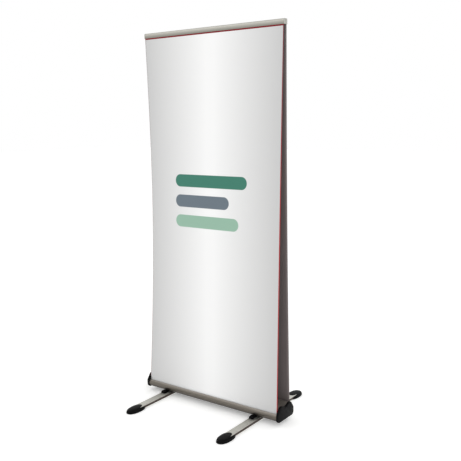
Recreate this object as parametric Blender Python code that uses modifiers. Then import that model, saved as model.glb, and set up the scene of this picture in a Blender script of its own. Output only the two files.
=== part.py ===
"""Double-sided roll-up banner stand, standing open.

Units are metres. +Z is up, the front banner faces -Y and the cassette runs along X. The origin is on
the floor, under the middle of the cassette. Run with: blender --background --python part.py
"""

import math

import bmesh
import bpy
from mathutils import Matrix, Vector

# ---- driving dimensions ---------------------------------------------------------------------------
OVERALL_HEIGHT = 1.955
BANNER_WIDTH = 0.850
FILM = 0.0006  # thickness of a banner's film

GAP = 0.0003  # between two pieces that touch
RUNNING_GAP = 0.0010  # between pieces that turn or slide past each other
PAST = 0.0020  # how far a cutter runs past what it cuts

# Cassette
CASSETTE_OVERHANG = 0.0030  # past each edge of the banner
CASSETTE_DEPTH = 0.145
CASSETTE_BOTTOM = 0.0225
CASSETTE_WALL = 0.0020
HOOD_HEIGHT = 0.0945  # top of the hood over each roller
VALLEY_HEIGHT = 0.0835  # top between the two hoods
LIP_HEIGHT = 0.0630  # top of the front and rear lips
SLOT_WIDTH = 0.0070
LIP_SLOPE = 0.0100  # height over which the face slopes in to the lip
LIP_DEPTH = 0.0040  # height of the slot's upright edges
HOOD_MIDDLE = 0.0300  # from the middle of the cassette to where each hood turns down to the valley
CHANNEL_SPARE = 0.0011  # beside the pole's socket, in the hollow between the two roller chambers
SCREW_PORT_HEIGHT = 0.0100  # solid metal under and over that hollow
CHANNEL_RISE = 0.0015  # less metal over the hollow, where the valley is round
FOOT_CORNER = 0.0220  # radii of the section, from its foot to its valley
FACE_CORNER = 0.0120
FACE_CORNER_INSIDE = 0.0080
HOOD_CORNER = 0.0100
HOOD_CORNER_INSIDE = 0.0080
HOOD_TURN = 0.0140
VALLEY_CORNER = 0.0200
WEB_CORNER = 0.0030
CHANNEL_CORNER = 0.0020
EDGE = 0.0006  # rounding of the section's thin edges

# End caps
CAP_LENGTH = 0.012
CAP_MARGIN = 0.0035  # how far a cap stands proud of the cassette's section
CAP_BOTTOM_MARGIN = 0.0015
CAP_VALLEY_MARGIN = 0.0015
CAP_HOOD_INSET = 0.0050  # from the slot back to the highest corner
CAP_HOOD_PEAK = 0.0010  # how much that corner is drawn up before it is rounded
CAP_FOOT_CORNER = 0.0180
CAP_FACE_CORNER = 0.0160
CAP_HOOD_CORNER = 0.0120
CAP_VALLEY_CORNER = 0.0220
CAP_RIM = 0.0025
BEARING_LENGTH = 0.007
BEARING_WALL = 0.004
CAP_SCREW_RADIUS = 0.0020
CAP_SCREW_LENGTH = 0.024
CAP_SCREW_HEAD_RADIUS = 0.0040
CAP_SCREW_HEAD_HEIGHT = 0.0018
CAP_SCREW_EDGE = 0.0006
CAP_SCREW_SPARE = 0.0030  # left in front of a screw's tip
UPPER_SCREW_DROP = 0.0005  # below the middle of the metal over the hollow

# Rollers
ROLLER_RADIUS = 0.0140
ROLLER_WALL = 0.0014
ROLLER_INSET = 0.0090  # each end of a roller, from the edge of its banner
ROLLER_HEIGHT = 0.0530
ROLLER_OFFSET = 0.0430  # from the middle of the cassette to each roller's axis
PLUG_DEPTH = 0.022
PLUG_FLANGE = 0.002
SHAFT_RADIUS = 0.0045
SHAFT_LENGTH = 0.010
SHAFT_WALL = 0.0012
ARBOR_RADIUS = 0.0025
ARBOR_HEAD_LENGTH = 0.006
ARBOR_END_GAP = 0.0005
SPRING_WIRE = 0.0008
SPRING_COIL_RADIUS = 0.0070
SPRING_TURNS = 12
SPRING_LENGTH = 0.240
WRAP_THICKNESS = 0.0014  # turns of film that stay on the roller
WRAP_INSET = 0.0110  # each end of the turns, from the edge of the banner

# Pole
TUBE_WALL = 0.0012
LOWER_TUBE_RADIUS = 0.0125
SOCKET_FLOOR = 0.0340
SOCKET_WALL = 0.0016
SOCKET_FLANGE_REACH = 0.0046
SOCKET_FLANGE_HEIGHT = 0.0040
SOCKET_EDGE = 0.0010
LOWER_TUBE_TOP = 0.620
MIDDLE_TUBE_TOP = 1.200
TUBE_OVERLAP = 0.060
CLAMP_HEIGHT = 0.034
CLAMP_WALL = 0.0035
CLAMP_GRIP = 0.014  # how much of a clamp stands above the tube that it is fixed on
CLAMP_EDGE = 0.0010
EAR_REACH = 0.0100
EAR_HEIGHT = 0.0120
EAR_ROOT = 0.0030  # how much of an ear is inside the collar
EAR_EDGE = 0.0012
EAR_THICKNESS = 0.0036
LEVER_THICKNESS = 0.0060
LEVER_LENGTH = 0.042
LEVER_INSET = 0.0004  # the arm's outer face, from the cam's
LEVER_ROOT = 0.0005  # the arm's inner face, from the pin's axis
LEVER_EDGE = 0.0014
LEVER_PIN_RADIUS = 0.0017
LEVER_PIN_REACH = 0.0055  # from the collar
LEVER_PIN_DROP = 0.0090  # from the collar's top
HEAD_PLUG_DEPTH = 0.030
HEAD_DROP = 0.0040  # shoulder's top, from the rails' underside
HEAD_SHOULDER = 0.0120
HEAD_TAPER = 0.0060
HEAD_TAPER_REACH = 0.0020  # round the tongue
TONGUE_ROOT = 0.0040
TONGUE_EDGE = 0.0008
TONGUE_WIDTH = 0.044
TONGUE_THICKNESS = 0.0018
TONGUE_RISE = 0.0100  # how far the tongue stands up between the rails

# Top rails
RAIL_OVERHANG = 0.0005  # past each edge of the banner
RAIL_HEIGHT = 0.025
POLE_TO_FILM = 0.0011  # from the upper tube to the film, at the film's head
RAIL_WALL = 0.0014
RAIL_SLOT = 0.0020
FILM_IN_RAIL = 0.0120
RAIL_CAP_LENGTH = 0.0020
RAIL_PLUG_DEPTH = 0.008
RAIL_PLUG_ROOT = 0.0005  # how much of the plug is inside the cap
HOOK_WIDTH = 0.016
HOOK_HEIGHT = 0.0055
HOOK_DEPTH_IN_RAIL = 0.0024
HOOK_PLACE = 0.0015  # from the stand's middle to the nearer end of each hook
HOOK_EDGE = 0.0006

# Feet
FOOT_SPACING = 0.594  # between the two pivots, along X
FOOT_STAGGER = 0.060  # between the two pivots, along Y
FOOT_LENGTH = 0.766
FOOT_BAR_WIDTH = 0.046
FOOT_BAR_HEIGHT = 0.014
FOOT_BAR_CLEARANCE = 0.0040  # under the bar
FOOT_BAR_EDGE = 0.0016
FOOT_TIP_LENGTH = 0.125
FOOT_TIP_WIDTH = 0.068
FOOT_TIP_HEIGHT = 0.0205
TIP_SHOULDER = 0.55  # share of its height where the dome starts
TIP_EDGE = 0.0020
TIP_GRIP = 0.052  # how much of the bar is inside each tip
FOOT_SCREW_RADIUS = 0.0040
FOOT_SCREW_HEAD_RADIUS = 0.0085
FOOT_SCREW_HEAD_HEIGHT = 0.0028
FOOT_SCREW_EDGE = 0.0008
FOOT_SCREW_END = 0.0010  # past the nut
FOOT_WASHER_RADIUS = 0.0190
FOOT_NUT_RADIUS = 0.0075
FOOT_NUT_HEIGHT = 0.0050
CLIP_WIDTH = 0.025
CLIP_LENGTH = 0.045
CLIP_OFFSET = 0.008  # from the bar's middle line towards its left edge
CLIP_RISE = 0.0075  # above the cassette's underside
CLIP_REACH = 0.0245  # in front of the cassette
CLIP_LIFT = 0.0005  # more room over the bar, for it to swing
CLIP_NOSE_BACK = 0.0050  # behind the cassette's front
CLIP_NOSE_LIFT = 0.0004
CLIP_EDGE = 0.0012
CLIP_NOSE_EDGE = 0.0030

# ---- worked out from the sizes above --------------------------------------------------------------
CASSETTE_LENGTH = BANNER_WIDTH + 2 * CASSETTE_OVERHANG
ROLLER_LENGTH = BANNER_WIDTH - 2 * ROLLER_INSET
RAIL_LENGTH = BANNER_WIDTH + 2 * RAIL_OVERHANG
SOCKET_RADIUS = LOWER_TUBE_RADIUS + GAP + SOCKET_WALL
SOCKET_FLANGE_RADIUS = SOCKET_RADIUS + SOCKET_FLANGE_REACH
CHANNEL_WIDTH = 2 * (SOCKET_RADIUS + CHANNEL_SPARE)
HALF_DEPTH = CASSETTE_DEPTH / 2
WRAP_RADIUS = ROLLER_RADIUS + WRAP_THICKNESS
FILM_BOTTOM_Y = ROLLER_OFFSET + WRAP_RADIUS + GAP + FILM / 2
SLOT_INNER = FILM_BOTTOM_Y - SLOT_WIDTH / 2 - FILM
SLOT_OUTER = SLOT_INNER + SLOT_WIDTH
CHANNEL_BOTTOM = CASSETTE_BOTTOM + SCREW_PORT_HEIGHT
CHANNEL_TOP = VALLEY_HEIGHT - SCREW_PORT_HEIGHT + CHANNEL_RISE
WEB_OUTER = CHANNEL_WIDTH / 2 + CASSETTE_WALL
CAP_OUTER_X = CASSETTE_LENGTH / 2 + CAP_LENGTH

MIDDLE_TUBE_RADIUS = LOWER_TUBE_RADIUS - TUBE_WALL - GAP
UPPER_TUBE_RADIUS = MIDDLE_TUBE_RADIUS - TUBE_WALL - GAP
LOWER_TUBE_BOTTOM = SOCKET_FLOOR + SOCKET_WALL + GAP

RAIL_BOTTOM = OVERALL_HEIGHT - RAIL_HEIGHT
RAIL_BACK = TONGUE_THICKNESS / 2 + GAP
FILM_TOP_Y = UPPER_TUBE_RADIUS + POLE_TO_FILM
RAIL_FRONT = FILM_TOP_Y + RAIL_SLOT / 2 + RAIL_WALL
TONGUE_TOP = RAIL_BOTTOM + TONGUE_RISE
HEAD_SHOULDER_TOP = RAIL_BOTTOM - HEAD_DROP
UPPER_TUBE_TOP = HEAD_SHOULDER_TOP - HEAD_SHOULDER
FILM_TOP = RAIL_BOTTOM + FILM_IN_RAIL

FOOT_BAR_TOP = FOOT_BAR_CLEARANCE + FOOT_BAR_HEIGHT
WASHER_BOTTOM = FOOT_BAR_TOP + GAP
WASHER_TOP = CASSETTE_BOTTOM - GAP

# ---- finishes: colour, roughness, metallic --------------------------------------------------------
FINISHES = {
    "anodised": ((0.55, 0.53, 0.49, 1), 0.38, 0.9),
    "rail_metal": ((0.62, 0.61, 0.57, 1), 0.35, 0.9),
    "foot_metal": ((0.50, 0.49, 0.45, 1), 0.45, 0.8),
    "tube_metal": ((0.60, 0.61, 0.62, 1), 0.30, 1.0),
    "steel": ((0.55, 0.55, 0.56, 1), 0.35, 1.0),
    "spring_steel": ((0.30, 0.30, 0.32, 1), 0.40, 1.0),
    "black_plastic": ((0.012, 0.012, 0.013, 1), 0.45, 0.0),
    "grey_plastic": ((0.45, 0.44, 0.41, 1), 0.50, 0.0),
    "film": ((0.82, 0.82, 0.82, 1), 0.45, 0.0),
}

ROUND_STEPS = 20
CORNER_STEPS = 4
SMOOTH_ANGLE = math.radians(35)


# ---- the scene ------------------------------------------------------------------------------------
def clear_scene():
    for thing in list(bpy.data.objects):
        bpy.data.objects.remove(thing, do_unlink=True)


def new_collection(name):
    group = bpy.data.collections.new(name)
    bpy.context.scene.collection.children.link(group)
    return group


def finish(name):
    """The Principled material of this name, made the first time that it is asked for."""
    if name in bpy.data.materials:
        return bpy.data.materials[name]
    colour, roughness, metallic = FINISHES[name]
    material = bpy.data.materials.new(name)
    material.use_nodes = True
    shader = material.node_tree.nodes["Principled BSDF"]
    shader.inputs["Base Color"].default_value = colour
    shader.inputs["Roughness"].default_value = roughness
    shader.inputs["Metallic"].default_value = metallic
    return material


def place(obj, group, material=None):
    """Puts an object in one collection, gives it its finish and its own smooth shading."""
    for other in list(obj.users_collection):
        other.objects.unlink(obj)
    group.objects.link(obj)
    if material:
        obj.data.materials.clear()
        obj.data.materials.append(finish(material))
        obj.data.shade_smooth()
        obj.data.set_sharp_from_angle(angle=SMOOTH_ANGLE)
    return obj


def mesh_object(name, shape, at=(0, 0, 0)):
    mesh = bpy.data.meshes.new(name)
    shape.to_mesh(mesh)
    shape.free()
    obj = bpy.data.objects.new(name, mesh)
    obj.location = at
    bpy.context.scene.collection.objects.link(obj)
    return obj


# ---- shapes ---------------------------------------------------------------------------------------
def box(name, low, high, bevel=0.0, segments=2):
    """A box between two corners, with its edges rounded."""
    shape = bmesh.new()
    bmesh.ops.create_cube(shape, size=1)
    size = [b - a for a, b in zip(low, high)]
    centre = [(a + b) / 2 for a, b in zip(low, high)]
    bmesh.ops.scale(shape, vec=size, verts=shape.verts)
    if bevel:
        bmesh.ops.bevel(
            shape, geom=shape.edges[:], offset=bevel, segments=segments, profile=0.5, affect="EDGES"
        )
    return mesh_object(name, shape, centre)


def rod(name, radius, start, end, axis="Z", steps=ROUND_STEPS, bevel=0.0):
    """A cylinder along one axis; start and end are its two ends' centres."""
    shape = bmesh.new()
    start, end = Vector(start), Vector(end)
    bmesh.ops.create_cone(
        shape, cap_ends=True, segments=steps, radius1=radius, radius2=radius, depth=(end - start).length
    )
    if bevel:
        rims = [e for e in shape.edges if all(abs(f.normal.z) < 0.5 for f in e.link_faces) is False]
        bmesh.ops.bevel(shape, geom=rims, offset=bevel, segments=2, profile=0.5, affect="EDGES")
    turn = {"X": Matrix.Rotation(math.pi / 2, 3, "Y"), "Y": Matrix.Rotation(-math.pi / 2, 3, "X")}
    if axis in turn:
        bmesh.ops.rotate(shape, cent=(0, 0, 0), matrix=turn[axis], verts=shape.verts)
    return mesh_object(name, shape, (start + end) / 2)


def turned(name, profile, at=(0, 0, 0), axis="Z", steps=ROUND_STEPS):
    """A closed profile of (radius, height) points, outer side first and downwards, turned into a ring."""
    mesh = bpy.data.meshes.new(name)
    points = [(radius, 0, height) for radius, height in profile]
    on_axis = profile[0][0] == 0 and profile[-1][0] == 0
    edges = [(i, i + 1) for i in range(len(points) - 1)]
    if not on_axis:
        edges.append((len(points) - 1, 0))
    mesh.from_pydata(points, edges, [])
    obj = bpy.data.objects.new(name, mesh)
    bpy.context.scene.collection.objects.link(obj)
    screw = obj.modifiers.new("Turn", "SCREW")
    screw.steps = steps
    screw.render_steps = steps
    screw.use_merge_vertices = True
    screw.merge_threshold = 0.00001
    solid = applied(obj)
    if axis == "X":
        solid.data.transform(Matrix.Rotation(math.pi / 2, 4, "Y"))
    if axis == "Y":
        solid.data.transform(Matrix.Rotation(-math.pi / 2, 4, "X"))
    solid.location = at
    return solid


def tube(name, outer, inner, bottom, top, steps=ROUND_STEPS):
    """An upright tube, open at both ends."""
    middle = (bottom + top) / 2
    half = (top - bottom) / 2
    return turned(name, [(outer, half), (outer, -half), (inner, -half), (inner, half)], (0, 0, middle), steps=steps)


def rounded(corners, steps=CORNER_STEPS):
    """Points of a closed outline; each corner is (y, z, radius) and becomes an arc of that radius."""
    points = []
    count = len(corners)
    for i, (y, z, radius) in enumerate(corners):
        here = Vector((y, z))
        back = Vector(corners[i - 1][:2]) - here
        ahead = Vector(corners[(i + 1) % count][:2]) - here
        turn = math.pi - back.angle(ahead)
        if radius <= 0 or turn < 0.02:
            points.append(here)
            continue
        reach = radius * math.tan(turn / 2)
        start = here + back.normalized() * reach
        centre = here + (back.normalized() + ahead.normalized()).normalized() * radius / math.cos(turn / 2)
        side = 1 if back.cross(ahead) < 0 else -1
        for step in range(steps + 1):
            angle = side * turn * step / steps
            points.append(centre + Matrix.Rotation(angle, 2) @ (start - centre))
    return points


def mirrored(half):
    """A whole outline from its +Y half, whose last corner is on the middle line."""
    return half + [(-y, z, radius) for y, z, radius in reversed(half[:-1])]


def extruded(name, outlines, start, end):
    """Flat (y, z) outlines run along X from start to end; an outline inside another is a hole."""
    curve = bpy.data.curves.new(name, "CURVE")
    curve.dimensions = "2D"
    curve.fill_mode = "BOTH"
    curve.extrude = (end - start) / 2
    for outline in outlines:
        spline = curve.splines.new("POLY")
        spline.points.add(len(outline) - 1)
        for point, (y, z) in zip(spline.points, outline):
            point.co = (y, z, 0, 1)
        spline.use_cyclic_u = True
    obj = bpy.data.objects.new(name, curve)
    bpy.context.scene.collection.objects.link(obj)
    to_section = Matrix(((0, 0, 1, 0), (1, 0, 0, 0), (0, 1, 0, 0), (0, 0, 0, 1)))
    obj.matrix_world = Matrix.Translation(((start + end) / 2, 0, 0)) @ to_section
    return as_mesh(obj)


def as_mesh(obj):
    """A curve object made a mesh object whose caps are joined to its sides."""
    bpy.context.view_layer.update()
    evaluated = obj.evaluated_get(bpy.context.evaluated_depsgraph_get())
    mesh = bpy.data.meshes.new_from_object(evaluated)
    shape = bmesh.new()
    shape.from_mesh(mesh)
    bmesh.ops.remove_doubles(shape, verts=shape.verts, dist=0.000001)
    shape.to_mesh(mesh)
    shape.free()
    name, matrix = obj.name, obj.matrix_world.copy()
    bpy.data.objects.remove(obj, do_unlink=True)
    mesh.transform(matrix)
    solid = bpy.data.objects.new(name, mesh)
    bpy.context.scene.collection.objects.link(solid)
    return solid


def applied(obj):
    """The object with its modifiers made part of its mesh."""
    bpy.context.view_layer.update()
    evaluated = obj.evaluated_get(bpy.context.evaluated_depsgraph_get())
    mesh = bpy.data.meshes.new_from_object(evaluated)
    obj.modifiers.clear()
    obj.data = mesh
    mesh.name = obj.name
    return obj


def joined(obj, others, operation="UNION"):
    """The object after a Boolean with each of the others, which are used up."""
    for other in others:
        step = obj.modifiers.new(operation.title(), "BOOLEAN")
        step.operation = operation
        step.solver = "EXACT"
        step.object = other
        applied(obj)
        bpy.data.objects.remove(other, do_unlink=True)
    return obj


def cut(obj, cutters):
    return joined(obj, cutters, "DIFFERENCE")


def move_origin(obj, point):
    """Sets an object's origin to a point, with its shape left where it is."""
    point = Vector(point)
    obj.data.transform(Matrix.Translation(obj.location - point))
    obj.location = point
    return obj


# ---- cassette -------------------------------------------------------------------------------------
def housing_outline():
    wall, inner = CASSETTE_WALL, HALF_DEPTH - CASSETTE_WALL
    half = [
        (HALF_DEPTH, CASSETTE_BOTTOM, FOOT_CORNER),
        (HALF_DEPTH, LIP_HEIGHT - LIP_SLOPE, FACE_CORNER),
        (SLOT_OUTER + wall, LIP_HEIGHT, EDGE),
        (SLOT_OUTER, LIP_HEIGHT, EDGE),
        (SLOT_OUTER, LIP_HEIGHT - LIP_DEPTH, 0),
        (inner, LIP_HEIGHT - LIP_SLOPE - wall, FACE_CORNER_INSIDE),
        (inner, CASSETTE_BOTTOM + wall, FOOT_CORNER - wall / 2),
        (WEB_OUTER, CASSETTE_BOTTOM + wall, WEB_CORNER),
        (WEB_OUTER, VALLEY_HEIGHT - wall, WEB_CORNER),
        (HOOD_MIDDLE, HOOD_HEIGHT - wall, HOOD_TURN),
        (SLOT_INNER - wall, HOOD_HEIGHT - wall, HOOD_CORNER_INSIDE),
        (SLOT_INNER - wall, LIP_HEIGHT + LIP_DEPTH, 0),
        (SLOT_INNER, LIP_HEIGHT + LIP_DEPTH, EDGE),
        (SLOT_INNER, HOOD_HEIGHT, HOOD_CORNER),
        (HOOD_MIDDLE, HOOD_HEIGHT, HOOD_TURN),
        (0, VALLEY_HEIGHT, VALLEY_CORNER),
    ]
    return rounded(mirrored(half))


def channel_outline():
    side, corner = CHANNEL_WIDTH / 2, CHANNEL_CORNER
    low, high = CHANNEL_BOTTOM, CHANNEL_TOP
    return rounded([(-side, low, corner), (side, low, corner), (side, high, corner), (-side, high, corner)], 2)


def foot_pivots():
    """Name, x and y of each foot's pivot. They are staggered, so that the folded bars lie side by side."""
    return [
        ("left", -FOOT_SPACING / 2, -FOOT_STAGGER / 2),
        ("right", FOOT_SPACING / 2, FOOT_STAGGER / 2),
    ]


def cap_screw_places():
    """Name, side and height of each end cap screw."""
    low = CASSETTE_BOTTOM + SCREW_PORT_HEIGHT / 2
    high = (CHANNEL_TOP + VALLEY_HEIGHT) / 2 - UPPER_SCREW_DROP
    return [
        (f"cap_screw_{side}_{place}", sign, height)
        for side, sign in (("left", -1), ("right", 1))
        for place, height in (("lower", low), ("upper", high))
    ]


def make_housing(parts):
    half = CASSETTE_LENGTH / 2
    housing = extruded("cassette_housing", [housing_outline(), channel_outline()], -half, half)
    hole = SOCKET_RADIUS + GAP
    rim = SOCKET_FLANGE_RADIUS + GAP
    cutters = [rod("cut_pole", hole, (0, 0, CHANNEL_TOP - PAST), (0, 0, HOOD_HEIGHT), steps=32)]
    cutters.append(rod("cut_flange", rim, (0, 0, VALLEY_HEIGHT - GAP), (0, 0, HOOD_HEIGHT + PAST), steps=32))
    for name, x, y in foot_pivots():
        low, high = CASSETTE_BOTTOM - PAST, CASSETTE_BOTTOM + CASSETTE_WALL + PAST
        cutters.append(rod("cut_" + name, FOOT_SCREW_RADIUS + GAP, (x, y, low), (x, y, high), steps=16))
    for name, side, height in cap_screw_places():
        inner, outer = half - CAP_SCREW_LENGTH, half + PAST
        radius = CAP_SCREW_RADIUS + GAP
        cutters.append(rod("cut_" + name, radius, (side * inner, 0, height), (side * outer, 0, height), "X", 12))
    cut(housing, cutters)
    return place(housing, parts, "anodised")


def cap_outline():
    out = HALF_DEPTH + CAP_MARGIN
    bottom = CASSETTE_BOTTOM - CAP_BOTTOM_MARGIN
    peak = HOOD_HEIGHT + CAP_MARGIN
    half = [
        (out, bottom, CAP_FOOT_CORNER),
        (out, LIP_HEIGHT, CAP_FACE_CORNER),
        (SLOT_INNER - CAP_HOOD_INSET, peak + CAP_HOOD_PEAK, CAP_HOOD_CORNER),
        (HOOD_MIDDLE, peak, HOOD_TURN),
        (0, VALLEY_HEIGHT + CAP_VALLEY_MARGIN, CAP_VALLEY_CORNER),
    ]
    return rounded(mirrored(half), 5)


def bevel_rim(obj, x, width, segments=3):
    """Rounds the edges that lie all in the plane at x."""
    shape = bmesh.new()
    shape.from_mesh(obj.data)
    bmesh.ops.dissolve_limit(shape, angle_limit=0.001, verts=shape.verts, edges=shape.edges)
    rim = []
    for edge in shape.edges:
        on_plane = all(abs(vertex.co.x - x) < 1e-6 for vertex in edge.verts)
        if on_plane and any(abs(face.normal.x) < 0.5 for face in edge.link_faces):
            rim.append(edge)
    bmesh.ops.bevel(shape, geom=rim, offset=width, segments=segments, profile=0.5, affect="EDGES")
    shape.to_mesh(obj.data)
    shape.free()
    return obj


def make_end_cap(parts, name, side):
    inner = CASSETTE_LENGTH / 2 + GAP
    start, end = sorted((side * inner, side * CAP_OUTER_X))
    cap = extruded(name, [cap_outline()], start, end)
    bevel_rim(cap, side * CAP_OUTER_X, CAP_RIM)
    bosses = []
    for y in (-ROLLER_OFFSET, ROLLER_OFFSET):
        radius = SHAFT_RADIUS + RUNNING_GAP + BEARING_WALL
        tip = side * (inner - BEARING_LENGTH)
        root = side * (inner + PAST)
        bosses.append(rod("boss", radius, (tip, y, ROLLER_HEIGHT), (root, y, ROLLER_HEIGHT), "X"))
    joined(cap, bosses)
    holes = []
    for y in (-ROLLER_OFFSET, ROLLER_OFFSET):
        tip = side * (inner - BEARING_LENGTH - PAST)
        end = side * (inner + SHAFT_LENGTH - BEARING_LENGTH + RUNNING_GAP)
        radius = SHAFT_RADIUS + RUNNING_GAP / 4
        holes.append(rod("bore", radius, (tip, y, ROLLER_HEIGHT), (end, y, ROLLER_HEIGHT), "X"))
    for screw, screw_side, height in cap_screw_places():
        if screw_side != side:
            continue
        low, high = side * (inner - PAST), side * (CAP_OUTER_X + PAST)
        radius = CAP_SCREW_RADIUS + GAP
        holes.append(rod(screw + "_hole", radius, (low, 0, height), (high, 0, height), "X", 12))
    cut(cap, holes)
    return place(cap, parts, "black_plastic")


def make_cap_screw(parts, name, side, height):
    seat = CAP_OUTER_X + GAP
    shank_end = CASSETTE_LENGTH / 2 - CAP_SCREW_LENGTH + CAP_SCREW_SPARE
    length = seat - shank_end
    head, radius, dome = CAP_SCREW_HEAD_HEIGHT, CAP_SCREW_HEAD_RADIUS, CAP_SCREW_EDGE
    profile = [(0, head), (radius - dome, head), (radius, head - dome), (radius, 0)]
    profile += [(CAP_SCREW_RADIUS, 0), (CAP_SCREW_RADIUS, -length), (0, -length)]
    screw = turned(name, profile, axis="X", steps=12)
    socket = rod("socket", radius * 0.42, (head * 0.4, 0, 0), (head * 2, 0, 0), "X", 6)
    cut(screw, [socket])
    if side < 0:
        screw.data.transform(Matrix.Rotation(math.pi, 4, "Z"))
    screw.location = (side * seat, 0, height)
    return place(screw, parts, "steel")


# ---- rollers --------------------------------------------------------------------------------------
def make_roller(parts, name, side):
    """Roller tube, its plugs, its film and the spring inside it; side is -1 for the front roller."""
    y, z = side * ROLLER_OFFSET, ROLLER_HEIGHT
    half = ROLLER_LENGTH / 2
    inner = ROLLER_RADIUS - ROLLER_WALL
    ring = [(ROLLER_RADIUS, half), (ROLLER_RADIUS, -half), (inner, -half), (inner, half)]
    place(turned(f"{name}_roller_tube", ring, (0, y, z), "X"), parts, "tube_metal")

    outer = ROLLER_RADIUS + GAP
    long = BANNER_WIDTH / 2 - WRAP_INSET
    ring = [(WRAP_RADIUS, long), (WRAP_RADIUS, -long), (outer, -long), (outer, long)]
    place(turned(f"{name}_film_turns", ring, (0, y, z), "X"), parts, "film")

    for end, sign in (("left", -1), ("right", 1)):
        flange = half + GAP
        body = inner - GAP
        reach = flange + PLUG_FLANGE
        tip = reach + SHAFT_LENGTH
        bore = SHAFT_RADIUS - SHAFT_WALL
        profile = [(SHAFT_RADIUS, tip), (SHAFT_RADIUS, reach), (ROLLER_RADIUS, reach), (ROLLER_RADIUS, flange)]
        profile += [(body, flange), (body, flange - PLUG_DEPTH)]
        profile += [(bore, flange - PLUG_DEPTH), (bore, tip)]
        plug = turned(f"{name}_plug_{end}", profile, axis="X", steps=20)
        if sign < 0:
            plug.data.transform(Matrix.Rotation(math.pi, 4, "Z"))
        plug.location = (0, y, z)
        place(plug, parts, "black_plastic")

    coil_start = GAP + SPRING_WIRE - (half + GAP - PLUG_DEPTH)
    make_arbor(parts, f"{name}_spring_arbor", y, z, coil_start + SPRING_LENGTH + SPRING_WIRE + GAP)
    make_spring(parts, f"{name}_spring", y, z, coil_start)


def make_arbor(parts, name, y, z, head_start):
    """Fixed rod through the left plug; the spring's far end hooks on its head."""
    start = -CASSETTE_LENGTH / 2 - SHAFT_LENGTH + BEARING_LENGTH - ARBOR_END_GAP
    head_end = head_start + ARBOR_HEAD_LENGTH
    head = SPRING_COIL_RADIUS + SPRING_WIRE
    profile = [(0, head_end), (head, head_end), (head, head_start), (ARBOR_RADIUS, head_start)]
    profile += [(ARBOR_RADIUS, start), (0, start)]
    return place(turned(name, profile, (0, y, z), "X", 12), parts, "steel")


def make_spring(parts, name, y, z, start):
    """Torsion spring: a coil about the arbor, from the left plug to the arbor's head."""
    curve = bpy.data.curves.new(name, "CURVE")
    curve.dimensions = "3D"
    curve.bevel_depth = SPRING_WIRE
    curve.bevel_resolution = 0
    curve.use_fill_caps = True
    per_turn = 8
    count = SPRING_TURNS * per_turn
    spline = curve.splines.new("POLY")
    spline.points.add(count)
    for i, point in enumerate(spline.points):
        angle = 2 * math.pi * i / per_turn
        along = start + SPRING_LENGTH * i / count
        radius = SPRING_COIL_RADIUS
        point.co = (along, y + radius * math.cos(angle), z + radius * math.sin(angle), 1)
    obj = bpy.data.objects.new(name, curve)
    bpy.context.scene.collection.objects.link(obj)
    return place(as_mesh(obj), parts, "spring_steel")


def make_banner(parts, name, side):
    """A thin sheet from the roller up into its rail; side is -1 for the front banner."""
    low_y, high_y = side * FILM_BOTTOM_Y, side * FILM_TOP_Y
    sheet = box(name, (-BANNER_WIDTH / 2, -FILM / 2, 0), (BANNER_WIDTH / 2, FILM / 2, FILM_TOP - ROLLER_HEIGHT))
    move_origin(sheet, (0, 0, 0))
    lean = (high_y - low_y) / (FILM_TOP - ROLLER_HEIGHT)
    for vertex in sheet.data.vertices:
        vertex.co.y += low_y + lean * vertex.co.z
        vertex.co.z += ROLLER_HEIGHT
    move_origin(sheet, (0, low_y, ROLLER_HEIGHT))
    return place(sheet, parts, "film")


# ---- pole -----------------------------------------------------------------------------------------
def make_socket(parts):
    """Cup in the cassette's middle channel that holds the pole; its flange rests on the valley."""
    inner = LOWER_TUBE_RADIUS + GAP
    seat = VALLEY_HEIGHT
    top = seat + SOCKET_FLANGE_HEIGHT
    rim = SOCKET_FLANGE_RADIUS
    profile = [(0, SOCKET_FLOOR + SOCKET_WALL), (inner, SOCKET_FLOOR + SOCKET_WALL), (inner, top)]
    profile += [(rim - SOCKET_EDGE, top), (rim, top - SOCKET_EDGE), (rim, seat), (SOCKET_RADIUS, seat)]
    profile += [(SOCKET_RADIUS, SOCKET_FLOOR), (0, SOCKET_FLOOR)]
    return place(turned("pole_socket", profile, steps=32), parts, "black_plastic")


def make_tubes(parts):
    sections = [
        ("lower", LOWER_TUBE_RADIUS, LOWER_TUBE_BOTTOM, LOWER_TUBE_TOP),
        ("middle", MIDDLE_TUBE_RADIUS, LOWER_TUBE_TOP - TUBE_OVERLAP, MIDDLE_TUBE_TOP),
        ("upper", UPPER_TUBE_RADIUS, MIDDLE_TUBE_TOP - TUBE_OVERLAP, UPPER_TUBE_TOP),
    ]
    for name, radius, bottom, top in sections:
        place(tube(f"pole_{name}_tube", radius, radius - TUBE_WALL, bottom, top), parts, "tube_metal")


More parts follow.
